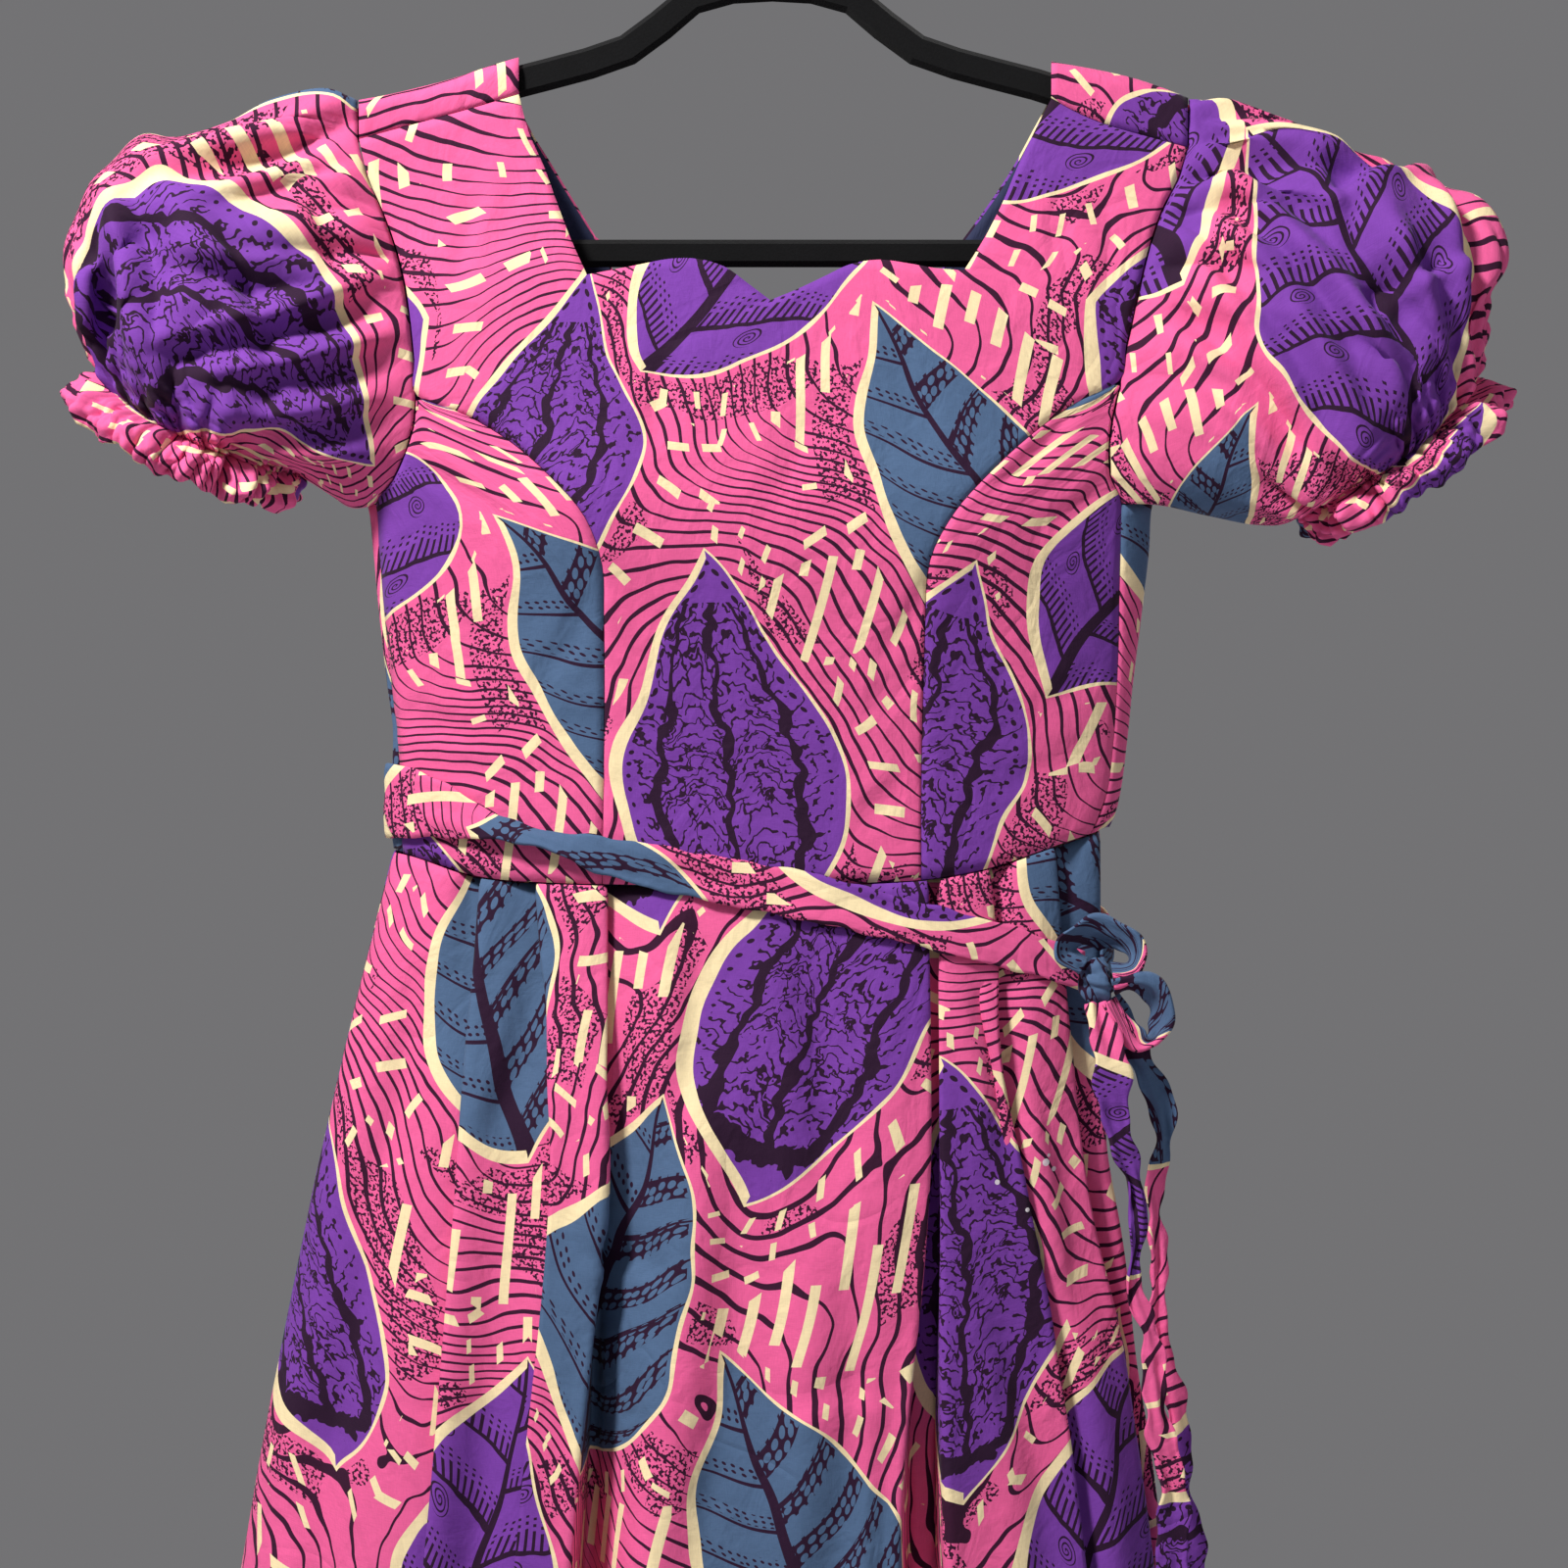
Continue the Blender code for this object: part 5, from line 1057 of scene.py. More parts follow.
def frill_sheet(name, hand, hem):
    """Bunched edge of a sleeve below the elastic; hem is where its cloth starts."""
    phi = np.linspace(0, 2 * math.pi, FRILL_COLUMNS, endpoint=False)
    ring = sleeve_ring(hand, 1.0, phi, fine_gathers(hand, 1.0, phi))
    out, axis, radial = np.swapaxes([cuff_frame(hand, a) for a in phi], 0, 1)
    start = ring - out * FRILL_LAP
    s = 0.8 if hand == LEFT else 2.1
    uneven = 1 + 0.32 * np.sin(5 * phi + s) + 0.2 * np.sin(3 * phi - s)
    rows = []
    for w in np.linspace(0, 1, FRILL_ROWS):
        sway = 0.9 * np.sin(3 * phi + s) + 0.5 * np.sin(7 * phi - s + 2.5 * w)
        bend = np.sin(FRILL_WAVES * phi + 0.6 * sway)
        knob = 0.62 - 0.38 * np.cos(2 * math.pi * 1.7 * w + 1.3 * np.sin(9 * phi + s))
        crumple = pinched(22 * phi + 2.4 * sway + 5.0 * w) * 3.4
        crumple = crumple + pinched(39 * phi - 2.8 * sway - 8.0 * w) * 2.6
        crumple = crumple * knob * (0.75 + 0.25 * np.sin(6 * phi + 6 * w + s)) * min(1.0, 6 * w)
        crumple = crumple - 1.2 * (1 - smooth(0, 0.14, w))
        turned_in = 1 - 0.45 * smooth(0.7, 1.0, w)
        wave = (w**0.8 * FRILL_WAVE * 0.6 * bend * uneven + crumple) * turned_in
        wave = wave + FRILL_FLARE * 1.5 * math.sin(math.pi * 0.82 * w)
        wave = wave - neck(1.0, phi) * smooth(0.05, 0.6, w) * 0.8
        ragged = 1 + 0.07 * np.sin(9 * phi + s) + 0.05 * np.sin(23 * phi + 2 * sway)
        rows.append(start + axis * (w * FRILL_LENGTH * ragged)[:, None] + radial * wave[:, None])
    p, n, phi = turned_out(np.array(rows), phi)
    v = hem - run_along(p).mean(axis=1, keepdims=True)
    p, n, u = closed_ring(p, n, phi)
    return Sheet(name).add(p, u, v, n)


# -------------------------------------------------------------------- skirt
WAIST_TOP = {FRONT: -522.0, BACK: -508.0}  # height at which the skirt's form begins
# Levels at which the widest gap between two places of a skirt's row is looked for.
SPAN_LEVELS = (0.0, 0.3, 0.65, 1.0)


def level(values, v):
    return hermite(SKIRT_LEVELS, values, v)


def skirt_middle_and_half(v):
    left, right = level(SKIRT_LEFT, v), level(SKIRT_RIGHT, v)
    return (left + right) / 2, (right - left) / 2


def skirt_base(x, v, face):
    """Depth of the skirt's form, without its folds."""
    mid, half = skirt_middle_and_half(v)
    return level(SKIRT_SIDE_Y, v) + face * level(SKIRT_DEPTH[face], v) * profile((x - mid) / half)


def between(a, b, share):
    return (1 - share) * np.array(a) + share * np.array(b)


def pleat_columns(fold, v):
    """Places across one pleat: x and the distance behind the form, for the folded
    cloth at the waist, then open to the side, or tucked under while it still overlaps."""
    way, *shape, joined_on = fold[1:]
    e, i, d = (level(values, v) for values in shape)
    p = PLEAT_PITCH
    near, far = e - 0.6 * p * way, i + 0.6 * p * way
    shut = [(near, 0), (e, 0.5 * p), (near, p), (far, p), (i, 1.5 * p), (far, 2 * p),
            (e + 3.2 * way, 2 * p - 0.2)]
    wide = (4 + 4 * v) * way
    across = [e - wide, e, e + (i - e) * 0.25, e + (i - e) * 0.66, i, i + 0.6 * wide, i + 1.3 * wide]
    lip = 0.6 + 1.5 * v
    spread = list(zip(across, (lip, 0, d * 0.22, d * 0.7, d, d * 0.95, d * 0.72)))
    across[3] = e + (i - e) * 0.7
    folded = list(zip(across, (lip, 0.1 * d, d * 0.4, d * 0.54, 0.75 * d, d, d * 0.95)))
    opened = between(spread, folded, smooth(-2, 4, (e - i) * way))
    out = between(shut, opened, smooth(0.01, 0.18, v))
    return (out if joined_on else out[:-1])[::way]


def skirt_row(v, face):
    """Cloth places along one row, from the left side seam to the right."""
    mid, half = skirt_middle_and_half(v)
    side_y = level(SKIRT_SIDE_Y, v)
    out = [(mid - half, side_y + face * SEAM_GAP / 2)]
    rows = [(mid - half * math.cos(math.radians(turn)), 0.0) for turn in (9, 20, 34)]
    for fold in FOLDS[face]:
        if fold[0] == "soft":
            rows.append((level(fold[1], v), level(fold[2], v)))
        else:
            rows.extend(pleat_columns(fold, v))
    out += [(x, skirt_base(x, v, face) - face * behind) for x, behind in rows]
    seam_x, seam_y = level(SEAM_RIGHT_X, v), level(SEAM_RIGHT_Y, v)
    if face == FRONT:
        out.append((level(TURN_RIGHT_X, v), level(TURN_RIGHT_Y, v)))
    else:
        x = mid + half * 0.93
        out.append((x, max(skirt_base(x, v, face), seam_y + 3)))
    return np.array(out + [(seam_x, seam_y + face * SEAM_GAP / 2)])


def skirt_sheet(name, face):
    top = column(WAIST[face], 1, skirt_row(0.0, face)[:, 0])

    def row_at(v):
        x, y = skirt_row(v, face).T
        first = real(x, y, top - WAIST_GAP)
        return np.stack([first[:, 0], y, first[:, 2] * (1 - v) + HEM_Z * v], axis=-1)

    spans = [np.linalg.norm(np.diff(row_at(v), axis=0), axis=1) for v in SPAN_LEVELS]
    counts = np.maximum(2, np.ceil(np.max(spans, axis=0) / SKIRT_SPACING)).astype(int)
    p = np.array([along(row_at(v), counts) for v in np.linspace(0, 1, SKIRT_ROWS)])
    p = p[::-1, ::-face]
    n = facing_of(p)
    down = run_along(p[::-1])[::-1]
    across = run_along(p, 1)
    p = press(p, n, SKIRT_CREASES[face], SKIRT_CREASED, SKIRT_LEAN)
    p = sink(p, n, np.minimum(across, across[:, -1:] - across), 0.6)
    p = sink(p, n, down, 0.7)
    return Sheet(name).add(p, across - across[:, -1:] / 2, -down, n)


# --------------------------------------------------------------------- sash
FACED = 0.4  # radians the ties' cloth turns its face to the front
TIE_SPANS = (-1, 0, 1)  # places across a tie, in half widths
KNOT_LAY = (0.30, 3.37)  # where the knot lies on the print, in print units


def waist_share(z, face):
    return np.clip((WAIST_TOP[face] - z) / (WAIST_TOP[face] - HEM_Z), 0, 1)


def outer_y(x, z, face):
    """Depth of the bodice or, below the waist, of the skirt's form."""
    top = WAIST_TOP[face]
    below = skirt_base(x, waist_share(z, face), face)
    return np.where(z > top, bodice_y(x, np.maximum(z, top), face), below)


def round_waist(angle, z, lift):
    """Place round the waist, lift outside the form, by an angle from the left side."""
    face = BACK if 0 <= angle <= 180 else FRONT
    rad = math.radians(angle)
    if z > WAIST_TOP[face]:
        mid, half = middle_and_half(z)
    else:
        mid, half = skirt_middle_and_half(waist_share(z, face))
    y = outer_y(mid - half * math.cos(rad), z, face)
    y = y + face * lift * min(1.0, abs(math.sin(rad)) * 1.6)
    return real(mid - (half + lift) * math.cos(rad), y, z)


def sash_rows():
    rows = []
    for x, z, wide, lift, lean in spline(SASH_FRONT, 27):
        row = []
        for s in TIE_SPANS:
            height = z + s * wide * math.cos(lean * 1.2)
            out = lift - s * wide * math.sin(lean * 0.9) * 0.55
            row.append(real(x, outer_y(x, height, FRONT) - out, height))
        rows.append(row)
    for angle, z, wide, lift in spline(SASH_BACK, 26):
        rows.append([round_waist(angle, z + s * wide, lift) for s in TIE_SPANS])
    return np.array(rows)


def ribbon_rows(table, stations):
    """Rows across a loop or an end of the tie."""
    line = spline(table, stations)
    rows = []
    for (x, y, z, wide, lean), way in zip(line, unit(np.gradient(line[:, :3], axis=0))):
        side = unit(np.array([way[2], 0.0, -way[0]]))
        if side[0] < 0 and lean < 0.99:
            side = -side
        lean = max(0.15, lean - FACED)
        across = side * math.cos(lean) + np.array([0, 1.0, 0]) * math.sin(lean)
        rows.append([np.array([x, y, z]) + across * wide * s for s in TIE_SPANS])
    return real(*np.moveaxis(rows, -1, 0))


def tie_sheet(name, rows, step, folds, seed, wave):
    """A folded strip of cloth with soft lengthwise creases, uneven edges."""
    p = fine(rows, step, 6)
    n = facing_of(p)
    w = np.linspace(-1, 1, p.shape[1])[None]
    run = run_along(p)
    middle = p.shape[1] // 2
    mid = run[:, [middle]]
    crease = np.sin(folds * w * 2.2 + 0.028 * mid + seed)
    crease = crease + 0.6 * np.sin(folds * w * 4.1 - 0.05 * mid + 2 * seed)
    swell = 0.55 + 0.45 * np.sin(mid / 23 + seed) * np.sin(mid / 9.7 + 2 * seed)
    p = pushed(p, n, wave * crease * swell * (1 - w**6) - 0.35 * w**4)
    wobble = 0.45 * np.sin(mid / 5.3 + seed) + 0.35 * np.sin(mid / 2.9 + 3 * seed)
    lift = 0.8 * np.sin(mid / 11.0 - seed) * (wave > 0.6)
    p = pushed(p, unit(np.gradient(p, axis=1)), (w * wobble + lift) * wave * 1.8)
    flutter = np.sin(mid / 6.1 + 2 * seed) + 0.7 * np.sin(mid / 3.3 - seed)
    p = pushed(p, n, wave * 0.7 * w**3 * flutter)
    across = run_along(p, 1)
    return Sheet(name).add(p, across - across[:, [middle]], -run, n)


def knot_object(material):
    """The tie's knot: a wrapped lump with folds running round it."""
    rings, sides = 36, 56
    centre = real(*KNOT)
    points, coords = [], []
    for r in range(rings + 1):
        a = math.pi * r / rings
        for k in range(sides + 1):
            b = 2 * math.pi * k / sides
            d = np.array([math.sin(a) * math.cos(b), math.sin(a) * math.sin(b), math.cos(a)])
            dent = 1 - 0.13 * math.cos(3 * math.atan2(d[1], d[0]) + 2.0 * d[2])
            lay = d[2] * 1.1 + 0.55 * d[0] + 0.25 * math.sin(2 * b)
            fold = 0.07 * math.sin(7.5 * lay + 0.8) + 0.035 * math.sin(15 * lay + 2.4)
            fold -= 0.10 * math.exp(-(((d[2] + 0.45 * d[0] - 0.32) / 0.11) ** 2))
            points.append((centre + d * KNOT_RADII * (dent + fold * math.sin(a)) * 0.98) * MM)
            coords.append((b * 9, a * 10))
    starts = [r * (sides + 1) + k for r in range(rings) for k in range(sides)]
    faces = [(i, i + 1, i + sides + 2, i + sides + 1) for i in starts]
    obj = new_object("sash_knot", [tuple(p) for p in points], faces, material)
    print_on(obj.data, np.array(coords) / PRINT_UNIT + KNOT_LAY)
    bm = bmesh.new()
    bm.from_mesh(obj.data)
    bmesh.ops.remove_doubles(bm, verts=bm.verts, dist=1e-6)
    bmesh.ops.recalc_face_normals(bm, faces=bm.faces[:])
    bm.to_mesh(obj.data)
    bm.free()
    return obj


# -------------------------------------------------------------------- nodes
def through(operation):
    """A method that puts a value through a Math node."""
    return lambda self, *others: calc(self.tree, operation, self, *others)


class Value:
    """A number in a node tree, with arithmetic that adds the nodes."""

    __add__ = __radd__ = through("ADD")
    __sub__ = through("SUBTRACT")
    __mul__ = __rmul__ = through("MULTIPLY")
    __truediv__ = through("DIVIDE")
    __lt__ = through("LESS_THAN")
    __gt__ = through("GREATER_THAN")
    __abs__ = through("ABSOLUTE")
    fract = through("FRACT")
    floor = through("FLOOR")
    max = through("MAXIMUM")
    min = through("MINIMUM")

    def __init__(self, tree, socket):
        self.tree = tree
        self.socket = socket

    def __rsub__(self, other):
        return calc(self.tree, "SUBTRACT", other, self)

    def do(self, operation, *others):
        return calc(self.tree, operation, self, *others)


def plug(tree, value, socket):
    """Links a value into a socket, or sets a number or a colour on it."""
    if isinstance(value, Value):
        value = value.socket
    if isinstance(value, bpy.types.NodeSocket):
        tree.links.new(value, socket)
    else:
        socket.default_value = (*value, 1.0) if isinstance(value, tuple) else value


def fill(tree, node, inputs):
    for key, value in dict(inputs).items():
        plug(tree, value, node.inputs[key])


def new_node(tree, kind, inputs=(), **settings):
    """Adds a node; the settings are its properties."""
    node = tree.nodes.new("ShaderNode" + kind)
    for key, value in settings.items():
        setattr(node, key, value)
    fill(tree, node, inputs)
    return node


def calc(tree, operation, *terms):
    return Value(tree, new_node(tree, "Math", enumerate(terms), operation=operation).outputs[0])


def vector(tree, *parts):
    return new_node(tree, "CombineXYZ", enumerate(parts)).outputs[0]


def split(tree, socket):
    return [Value(tree, part) for part in new_node(tree, "SeparateXYZ", {0: socket}).outputs]


def noise(tree, place, scale, detail=2.0, distort=0.0, flat=True):
    inputs = {"Vector": place, "Scale": scale, "Detail": detail, "Distortion": distort}
    node = new_node(tree, "TexNoise", inputs, noise_dimensions="2D" if flat else "3D")
    return Value(tree, node.outputs["Fac"])


def waver(tree, place, scale, size, detail=1.0):
    """Noise to both sides of zero."""
    return (noise(tree, place, scale, detail) - 0.5) * size


def cells(tree, place, scale, feature, jitter=1.0):
    inputs = {"Vector": place, "Scale": scale, "Randomness": jitter}
    node = new_node(tree, "TexVoronoi", inputs, voronoi_dimensions="2D", feature=feature)
    return Value(tree, node.outputs["Distance"])


def chance(tree, value):
    """A fixed random number for each whole value."""
    node = new_node(tree, "TexWhiteNoise", noise_dimensions="1D")
    plug(tree, value, node.inputs["W"])
    return Value(tree, node.outputs["Value"])


def mix(tree, share, a, b, blend="MIX"):
    node = new_node(tree, "Mix", {}, data_type="RGBA", blend_type=blend)
    fill(tree, node, {0: share, 6: a, 7: b})
    return node.outputs[2]


def choose(tree, share, a, b):
    node = new_node(tree, "Mix", {0: share, 4: a, 5: b}, data_type="VECTOR")
    return node.outputs[1]


def bump(tree, height, strength, distance, below=None):
    inputs = {"Strength": strength, "Distance": distance, "Height": height}
    if below:
        inputs["Normal"] = below
    return new_node(tree, "Bump", inputs).outputs[0]


def within(x, low, high):
    return (x > low) * (x < high)


def any_of(first, *more):
    for other in more:
        first = first.max(other)
    return first


def centred(x, pitch):
    """Distance from the middle of the stripe that x is in, negative before it."""
    return ((x / pitch).fract() - 0.5) * pitch


# -------------------------------------------------------------------- print
# The print is this builder's own repeat: leaves on flowing lines, in millimetres.
REPEAT = (432.0, 524.0)
CORAL, FEATHER, SLATE = 0.0, 1.0, 2.0
# middle u, v, turn in degrees, half length, half width, kind, way it bends.
LEAVES = (
    (48, 92, 14, 104, 56, CORAL, 0.10),
    (58, 352, -24, 98, 50, SLATE, -0.12),
    (160, 214, 30, 96, 52, FEATHER, 0.12),
    (164, 468, -12, 102, 54, CORAL, 0.06),
    (268, 84, -30, 98, 50, SLATE, 0.14),
    (272, 338, 16, 104, 56, FEATHER, -0.10),
    (376, 206, -16, 100, 55, CORAL, -0.08),
    (380, 472, 26, 96, 52, SLATE, 0.10),
)
LEAF_LONG, LEAF_WIDE = 100.0, 54.0
FLOWED_ROUND = (0, 3, 5, 6)  # leaves that the ground's lines flow round
SPINE = 48.0  # half length of the stroke in a leaf that the lines keep away from
ROUNDING = 16.0

TWIG_PITCH = 6.8
BEAD_PITCH = 6.0
VEIN_PITCH = 33.0
STROKE_PITCH = 3.3
ARCH_PITCH = 27.0
LINE_PITCH = 6.9
BAR_PITCH = 12.5
BAR_LENGTH = 86.0

PINK = (0.800, 0.112, 0.308)
PLUM = (0.034, 0.003, 0.023)
CREAM = (0.880, 0.720, 0.430)
VIOLET = (0.175, 0.042, 0.345)
STEEL = (0.070, 0.126, 0.236)
LEAF_INK = (0.020, 0.003, 0.022)
DRIED = (0.85, 0.80, 0.84)

# Small pale drops dried on the right of the skirt: x, z, radius.
DROPS = ((126, -652, 1.7), (130, -655.5, 1.1), (103, -660, 1.2), (117, -673, 1.0), (127.5, -649, 0.8))


def taper(a):
    """Half width of a leaf along its length, narrower towards the tip."""
    return (1.0 - a * 0.32).max(0.35)


def leaf_field(tree, x, y):
    """Nearest leaf: how far off its edge is, its own coordinates and kind; then
    the even distance from the leaves that the ground lines flow round, and how
    clearly one of them is the nearest."""
    best = where = pull = most = None
    for number, (u, v, turn, long, wide, kind, bend) in enumerate(LEAVES):
        c, s = math.cos(math.radians(turn)), math.sin(math.radians(turn))
        du = (x - u).do("WRAP", REPEAT[0] / 2, -REPEAT[0] / 2)
        dv = (y - v).do("WRAP", REPEAT[1] / 2, -REPEAT[1] / 2)
        up, side = du * s + dv * c, du * c - dv * s
        a = up / long
        square = a * a
        b = side / wide - (1.0 - square) * bend
        off = (abs(b) / taper(a) + square - 1.0) * wide
        local = vector(tree, a, b, kind)
        if number in FLOWED_ROUND:
            beyond = (abs(up) - SPINE).max(0.0)
            gap = (beyond * beyond + side * side).do("SQRT")
            share = (gap * (-1.0 / ROUNDING)).do("EXPONENT")
            pull = pull + share if pull else share
            most = most.max(share) if most else share
        where = choose(tree, off < best, where, local) if best else local
        best = best.min(off) if best else off
    return best, where, pull.do("LOGARITHM", math.e) * -ROUNDING, most / pull


def ink_on_leaf(tree, a, b, share, kind):
    """Dark drawing inside the leaves; share is 0 at the rib, 1 at the edge."""
    up, side = a * LEAF_LONG, b * LEAF_WIDE
    out = abs(side)
    right = b > 0.0
    spot = vector(tree, side, up)
    # coral kind: three crooked trunks with branching twigs, dots round them
    warp_x = side + waver(tree, spot, 0.13, 13.0, 2.0)
    warp_y = up + waver(tree, vector(tree, up, side), 0.13, 13.0, 2.0)
    sway = abs(warp_x)
    arm = (0.60 - a * a * 0.55 + a * -0.16) * LEAF_WIDE
    reach = sway - arm
    calm = abs(side + waver(tree, spot, 0.075, 11.0))
    trunk = abs(calm - arm) < (2.1 - a * 1.2)
    stem = calm < (1.6 - a * 0.8)
    height = (warp_y - abs(reach).min(sway) * 0.85) / TWIG_PITCH
    length = chance(tree, height.floor() + right * 53.0) * 10.0 + 7.0
    unbroken = noise(tree, spot, 0.17, 1.0) > 0.37
    twigs = (height.fract() < 0.24) * (reach < length) * unbroken
    edges = cells(tree, vector(tree, warp_x, warp_y), 0.10, "DISTANCE_TO_EDGE")
    thicket = noise(tree, spot, 0.055, 1.0) > 0.49
    web = (edges < 0.052) * (reach < 2.0) * thicket
    foot = (arm + 2.0 > sway) * within(warp_y, -0.83 * LEAF_LONG, -0.74 * LEAF_LONG)
    bead, bead_off = centred(up, BEAD_PITCH), (share - 0.845) * LEAF_WIDE
    beads = (bead * bead + bead_off * bead_off).do("SQRT") < (1.0 + a)
    bush = any_of(web, twigs, trunk, stem) * within(a, -0.80, 0.74)
    coral = any_of(bush, foot, beads * within(share, 0.74, 0.95))
    # feather kind: side veins with strokes standing on them and curls
    q = up - out * 0.62 + right * (VEIN_PITCH / 2) + waver(tree, spot, 0.11, 1.5)
    h = centred(q, VEIN_PITCH)
    vein = abs(h) < (1.7 - share * 0.9)
    stroke = side / STROKE_PITCH
    tall = chance(tree, stroke.floor() + (q / VEIN_PITCH).floor() * 37.0) * 4.5 + 6.5
    points = any_of(within(h, tall + 1.6, tall + 2.9), within(h, tall + 4.4, tall + 5.4))
    strokes = (stroke.fract() < 0.40) * any_of(within(h, 0.0, tall), points)
    cx, cy = out - 30.0, h + 8.0
    r = (cx * cx + cy * cy).do("SQRT")
    curl = ((r / 1.9 - cy.do("ARCTAN2", cx) / (2 * math.pi)).fract() < 0.36) * (r < 5.4)
    feather = any_of(vein, strokes, curl, out < (2.1 - a * 1.5))
    # slate kind: arching veins, dots on one half, beaded bands on the other
    arch = up - out * 0.45 - out * out * 0.010 + right * 13.0
    k = centred(arch, ARCH_PITCH)
    thin = abs(k) < (1.25 - share * 0.6)
    place = vector(tree, side, arch)
    dots = (cells(tree, place, 0.27, "F1", 0.25) < 0.25) * within(k, 2.0, 9.5) * (1.0 - right)
    band = within(k, -11.0, 2.0) * right * (share < 0.93)
    gaps = cells(tree, place, 0.205, "F1", 0.35) < 0.40
    slate = any_of(thin, dots, band * (1.0 - gaps), out < (2.7 - a * 2.0))
    return any_of(coral * (kind < 0.5), feather * within(kind, 0.5, 1.5), slate * (kind > 1.5))


def print_colour(tree, x, y):
    """Colour of the printed cloth at a place on it, in millimetres."""
    place = vector(tree, x, y)
    wave_x = x + waver(tree, place, 0.012, 26.0)
    wave_y = y + waver(tree, vector(tree, y, x), 0.012, 26.0)
    off, where, drift, clear = leaf_field(tree, wave_x, wave_y)
    a, b, kind = split(tree, where)
    share = abs(b) / taper(a) + a * a
    # ground: lines that flow round some of the leaves, and speckle beside the leaves
    flow = drift + y * 0.38 + waver(tree, place, 0.0075, 40.0) + waver(tree, place, 0.05, 3.5)
    flow = flow + (flow / 21.0).do("SINE") * 5.0
    thick = (noise(tree, place, 0.02, 1.0) * 0.32 + 0.10) * (clear * 1.3 - 0.3)
    lines = (flow / LINE_PITCH).fract() < thick
    speck_zone = within(off, 3.0, 26.0) * (noise(tree, place, 0.0125, 1.0) > 0.535)
    specks = (noise(tree, place, 0.58, 1.0) > 0.535) * speck_zone
    ground = mix(tree, lines.max(specks), PINK, PLUM)
    # dashes that stand round each leaf, in a near and a far ring
    around = b.do("ARCTAN2", a * 1.15) * 4.775 + kind * 0.4
    luck = chance(tree, around.floor() + kind * 31.0)
    lean = (luck * 7.0).fract() - 0.5
    far = off > 24.0
    middle = off - (luck * 5.0 + 6.0 + far * 21.0) - 6.5
    spoke = abs(around.fract() - 0.5 + middle * lean * 0.03) * (off * 0.30 + 20.0)
    chain = any_of(b > 0.0, far, luck > 0.35) * (luck > 0.04)
    dashes = (spoke < (luck * 0.6 + 2.1)) * within(middle, -5.6, luck * 4.0 + 3.8) * chain
    # zones of leaning bars in their place
    across = x - y * 0.14 + waver(tree, place, 0.004, 60.0, 0.0)
    draw = chance(tree, (across / BAR_PITCH).floor())
    length = ((y + draw * 97.0) / BAR_LENGTH).fract()
    bar_zone = (noise(tree, place, 0.0105, 0.0) > 0.53) * (off > 9.0)
    bars = (abs(centred(across, BAR_PITCH)) < 2.3) * (length < draw * 0.25 + 0.42) * bar_zone
    ground = mix(tree, (dashes * (1.0 - bar_zone)).max(bars), ground, CREAM)
    leaf = mix(tree, kind > 1.5, VIOLET, STEEL)
    leaf = mix(tree, ink_on_leaf(tree, a, b, share, kind), leaf, LEAF_INK)
    rim = (b < 0.0) * 3.8 + 1.9 + waver(tree, place, 0.05, 1.6, 0.0)
    leaf = mix(tree, off > (0.0 - rim), leaf, CREAM)
    return mix(tree, off < 0.0, ground, leaf)


# ---------------------------------------------------------------- materials
def new_material(name):
    m = bpy.data.materials.new(name)
    m.use_nodes = True
    return m, m.node_tree, m.node_tree.nodes["Principled BSDF"]


def print_map(tree):
    """Place on the printed cloth, in millimetres."""
    x, y, _ = split(tree, new_node(tree, "UVMap", uv_map="Print").outputs[0])
    return x * PRINT_UNIT, y * PRINT_UNIT


def cloth_bump(tree, x, y, shader):
    """Plain weave and slight rumpling; returns the height of the threads."""
    warp = noise(tree, vector(tree, x * 2.4, y * 0.22), 1.0)
    weft = noise(tree, vector(tree, x * 0.22, y * 2.4), 1.0)
    threads = warp + weft
    place = vector(tree, x, y)
    rumple = noise(tree, vector(tree, x, y * 0.7), 0.045, detail=3.0, distort=0.6)
    small = noise(tree, place, 0.16, distort=0.4)
    fold = (1.0 - abs(noise(tree, place, 0.013, distort=0.8) - 0.5) * 16.0).max(0.0)
    fold = fold * (noise(tree, vector(tree, y, x), 0.011, 0.0) - 0.30)
    woven = bump(tree, threads, strength=0.35, distance=0.00025)
    height = rumple + small * 0.18 - fold * 0.7
    soft = bump(tree, height, strength=0.6, distance=0.0026, below=woven)
    plug(tree, soft, shader.inputs["Normal"])
    return threads


def wax_print():
    m, tree, shader = new_material("wax_print_cotton")
    x, y = print_map(tree)
    tone = cloth_bump(tree, x, y, shader) * 0.16 + 0.84
    tone = tone * (noise(tree, vector(tree, x, y), 0.02) * 0.14 + 0.93)
    colour = mix(tree, 1.0, print_colour(tree, x, y), tone, "MULTIPLY")
    px, py, pz = split(tree, new_node(tree, "TexCoord").outputs["Object"])

    def drop(at_x, at_z, radius):
        dx, dz = px - at_x * MM, pz - at_z * MM
        return (dx * dx + dz * dz) < (radius * MM) ** 2

    spots = any_of(*(drop(*each) for each in DROPS)) * (py < 0.0)
    fill(tree, shader, {
        "Base Color": mix(tree, spots * 0.85, colour, DRIED), "Roughness": 0.82,
        "Sheen Weight": 0.04, "Sheen Roughness": 0.5, "Specular IOR Level": 0.22,
    })
    return m


def navy_cotton():
    m, tree, shader = new_material("navy_facing_cotton")
    threads = cloth_bump(tree, *print_map(tree), shader)
    colour = mix(tree, threads * 0.5, (0.006, 0.010, 0.045), (0.016, 0.024, 0.085))
    fill(tree, shader, {"Base Color": colour, "Roughness": 0.85, "Sheen Weight": 0.1})
    return m


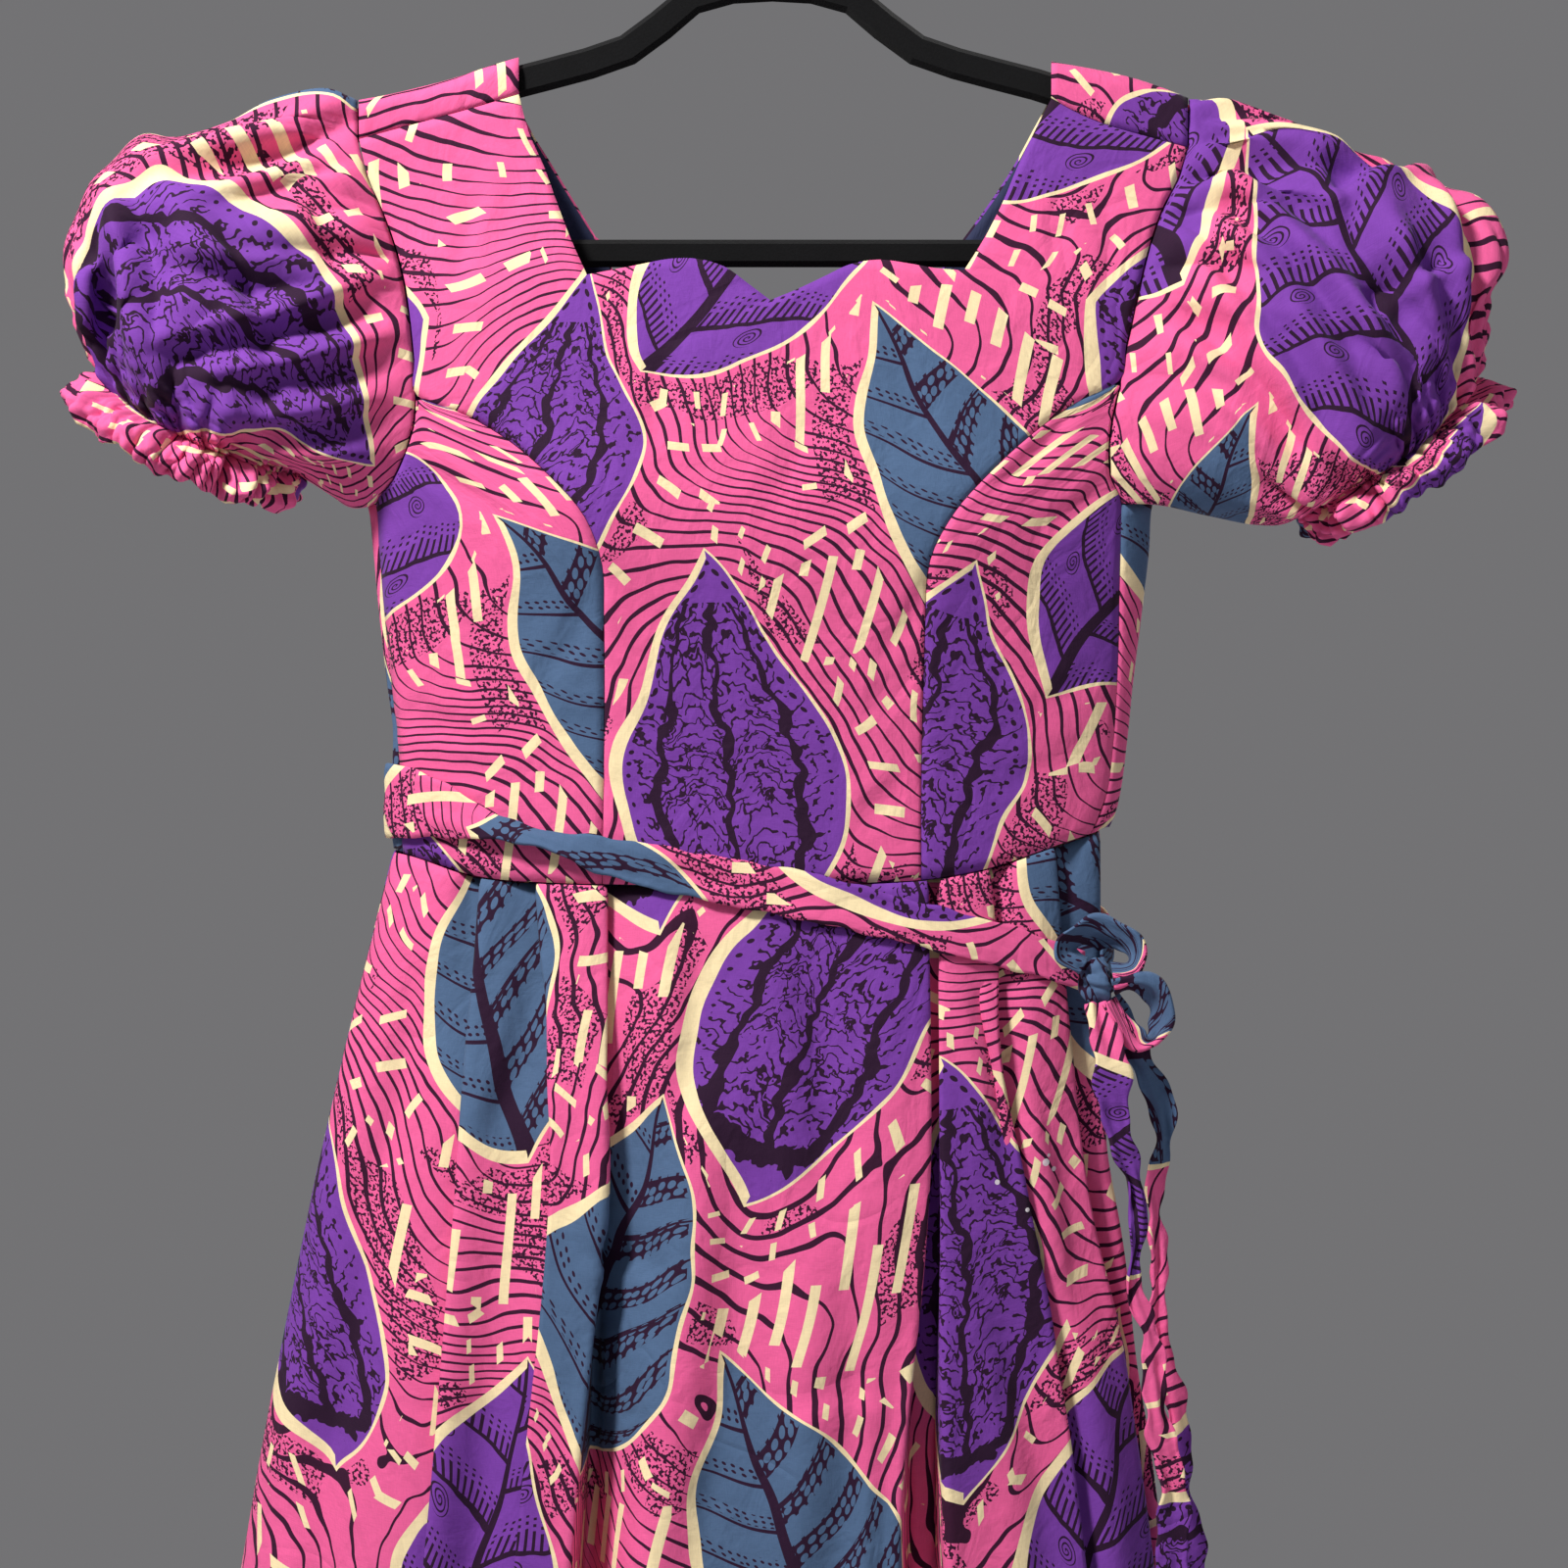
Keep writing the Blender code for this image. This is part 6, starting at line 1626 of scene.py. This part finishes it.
def velvet():
    m, tree, shader = new_material("black_flocking")
    place = new_node(tree, "TexCoord").outputs["Object"]
    pile = noise(tree, place, 900.0, flat=False)
    lint = noise(tree, place, 60.0, detail=3.0, flat=False)
    fill(tree, shader, {
        "Base Color": mix(
            tree, pile * 0.5 + lint * 0.3, (0.0015, 0.0015, 0.0018), (0.0075, 0.0075, 0.0085)),
        "Normal": bump(tree, pile, strength=0.4, distance=0.0004), "Roughness": 0.95,
        "Sheen Weight": 0.25, "Sheen Roughness": 0.4, "Specular IOR Level": 0.15,
    })
    return m


def bright_wire():
    m, tree, shader = new_material("plated_wire")
    place = new_node(tree, "TexCoord").outputs["Object"]
    worn = noise(tree, place, 240.0, flat=False)
    colour = mix(tree, worn, (0.62, 0.62, 0.63), (0.80, 0.80, 0.81))
    fill(tree, shader, {"Base Color": colour, "Roughness": worn * 0.14 + 0.14, "Metallic": 1.0})
    return m


# -------------------------------------------------------------------- build
def dress(obj, node):
    """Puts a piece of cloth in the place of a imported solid."""
    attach(obj, "root")
    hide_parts(node)


PRINT = wax_print()

# The sleeves are gathered into the armholes, which these sheets find.
right_back = back_sheet("back_bodice_right_cloth", RIGHT)
left_back = back_sheet("back_bodice_left_cloth", LEFT)
front = front_sheet()
side_left = side_sheet("front_side_left_cloth", LEFT)
side_right = side_sheet("front_side_right_cloth", RIGHT)

# Turn and shift of the print, then flat size in metres and area in square metres.
for sheet, turn, shift, node, flat, rests, area in (
    (front, 4, (150, 420), "bodice_front_centre", (0.40, 0.40), "hanger", 0.075),
    (side_left, -6, (300, 520), "bodice_front_side_left", (0.12, 0.225), "front_bodice_panel", 0.018),
    (side_right, 5, (20, 40), "bodice_front_side_right", (0.11, 0.23), "front_bodice_panel", 0.018),
    (left_back, 3, (205, 445), "bodice_back_left", (0.22, 0.39), "hanger", 0.06),
    (right_back, -4, (260, 130), "bodice_back_right", (0.22, 0.39), "hanger", 0.06),
):
    dress(sheet.build(PRINT, turn, shift), node)

facing = facing_sheet().build(navy_cotton())
dress(facing, "back_neck_facing")

for side, hand, turn, shift in (("left", LEFT, 62, (245, 151)), ("right", RIGHT, -58, (210, 330))):
    sleeve, hem = sleeve_sheet(f"puff_sleeve_{side}_cloth", hand)
    obj = sleeve.build(PRINT, turn, shift)
    dress(obj, f"sleeve_{side}")
    obj = frill_sheet(f"cuff_frill_{side}_cloth", hand, hem).build(PRINT, turn, shift)
    dress(obj, f"sleeve_frill_{side}")

for name, face, shift, flat, rests, area in (
    ("skirt_front", FRONT, (20, 130), (0.82, 0.63), "front_bodice_panel", 0.42),
    ("skirt_back", BACK, (180, 60), (0.79, 0.63), "back_bodice_left_cloth", 0.40),
):
    obj = skirt_sheet(f"{name}_cloth", face).build(PRINT, 0, shift)
    dress(obj, name)

sash = tie_sheet("waist_sash_cloth", sash_rows(), step=5, folds=1.6, seed=0.7, wave=0.55)
sash_obj = sash.build(PRINT, 0, (320, 302), TIE)
dress(sash_obj, "sash")
for name, node, table, stations, step, seed, shift, length in (
    ("bow_upper_cloth", "bow_loop_upper", LOOP_UPPER, 15, 6, 1.2, (262, 84), 0.07),
    ("bow_side_cloth", "bow_loop_side", LOOP_SIDE, 13, 6, 2.7, (288, 66), 0.07),
    ("tie_end_front_cloth", "sash_tail_front", TAIL_FRONT, 22, 9, 0.5, (88, 216), 0.33),
    ("tie_end_back_cloth", "sash_tail_back", TAIL_BACK, 20, 9, 3.9, (350, 462), 0.36),
):
    tie = tie_sheet(name, ribbon_rows(table, stations), step, folds=1.3, seed=seed, wave=1.2)
    dress(tie.build(PRINT, 90, shift, TIE), node)
knot = knot_object(PRINT)
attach(knot, "root")
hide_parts("bow_knot")

for node, finish in (("hanger", velvet()), ("hanger_hook", bright_wire())):
    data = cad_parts[node].data
    data.materials.clear()
    data.materials.append(finish)


# ------------------------------------------------------- floor, light, camera
FLOOR_Z = -1.46  # metres
FLOOR_HALF = 1.7
SIGHT_WIDTH = 736.0  # width in view at the dress, mm
SENSOR = 36.0

m, tree, shader = new_material("pale_floor")
fill(tree, shader, {"Base Color": (0.62, 0.60, 0.62), "Roughness": 0.9})
square = ((-1, -1), (1, -1), (1, 1), (-1, 1))
corners = [(x * FLOOR_HALF, y * FLOOR_HALF, FLOOR_Z) for x, y in square]
new_object("floor", corners, [(0, 1, 2, 3)], m)


def placed(name, data, place):
    obj = bpy.data.objects.new(name, data)
    obj.location = place
    bpy.context.scene.collection.objects.link(obj)
    return obj


def lamp(name, place, aim, size, power, colour=(1, 1, 1)):
    data = bpy.data.lights.new(name, "AREA")
    data.size = size
    data.energy = power
    data.color = colour
    obj = placed(name, data, place)
    obj.rotation_mode = "QUATERNION"
    obj.rotation_quaternion = (Vector(aim) - Vector(place)).to_track_quat("-Z", "Y")


lamp("key", (-1.05, -1.15, 1.05), (0, 0, -0.5), size=0.34, power=67, colour=(1.0, 0.985, 0.96))
lamp("fill", (1.7, -1.3, -0.1), (0, 0, -0.6), size=1.0, power=4, colour=(0.96, 0.97, 1.0))
lamp("rear", (0.6, 2.0, 0.3), (0, 0, -0.5), size=1.4, power=26)
world = bpy.data.worlds.new("soft")
world.use_nodes = True
tree = world.node_tree
fill(tree, tree.nodes["Background"], {"Color": (0.90, 0.89, 0.92), "Strength": 0.19})
scene = bpy.context.scene
scene.world = world
scene.view_settings.view_transform = "Standard"

lens = bpy.data.cameras.new("camera")
lens.sensor_width = SENSOR
lens.lens = SENSOR * SIGHT_DISTANCE / SIGHT_WIDTH
camera = placed("camera", lens, (SIGHT_X * MM, -SIGHT_DISTANCE * MM, SIGHT_Z * MM))
camera.rotation_euler = (math.pi / 2, 0, 0)
scene.camera = camera
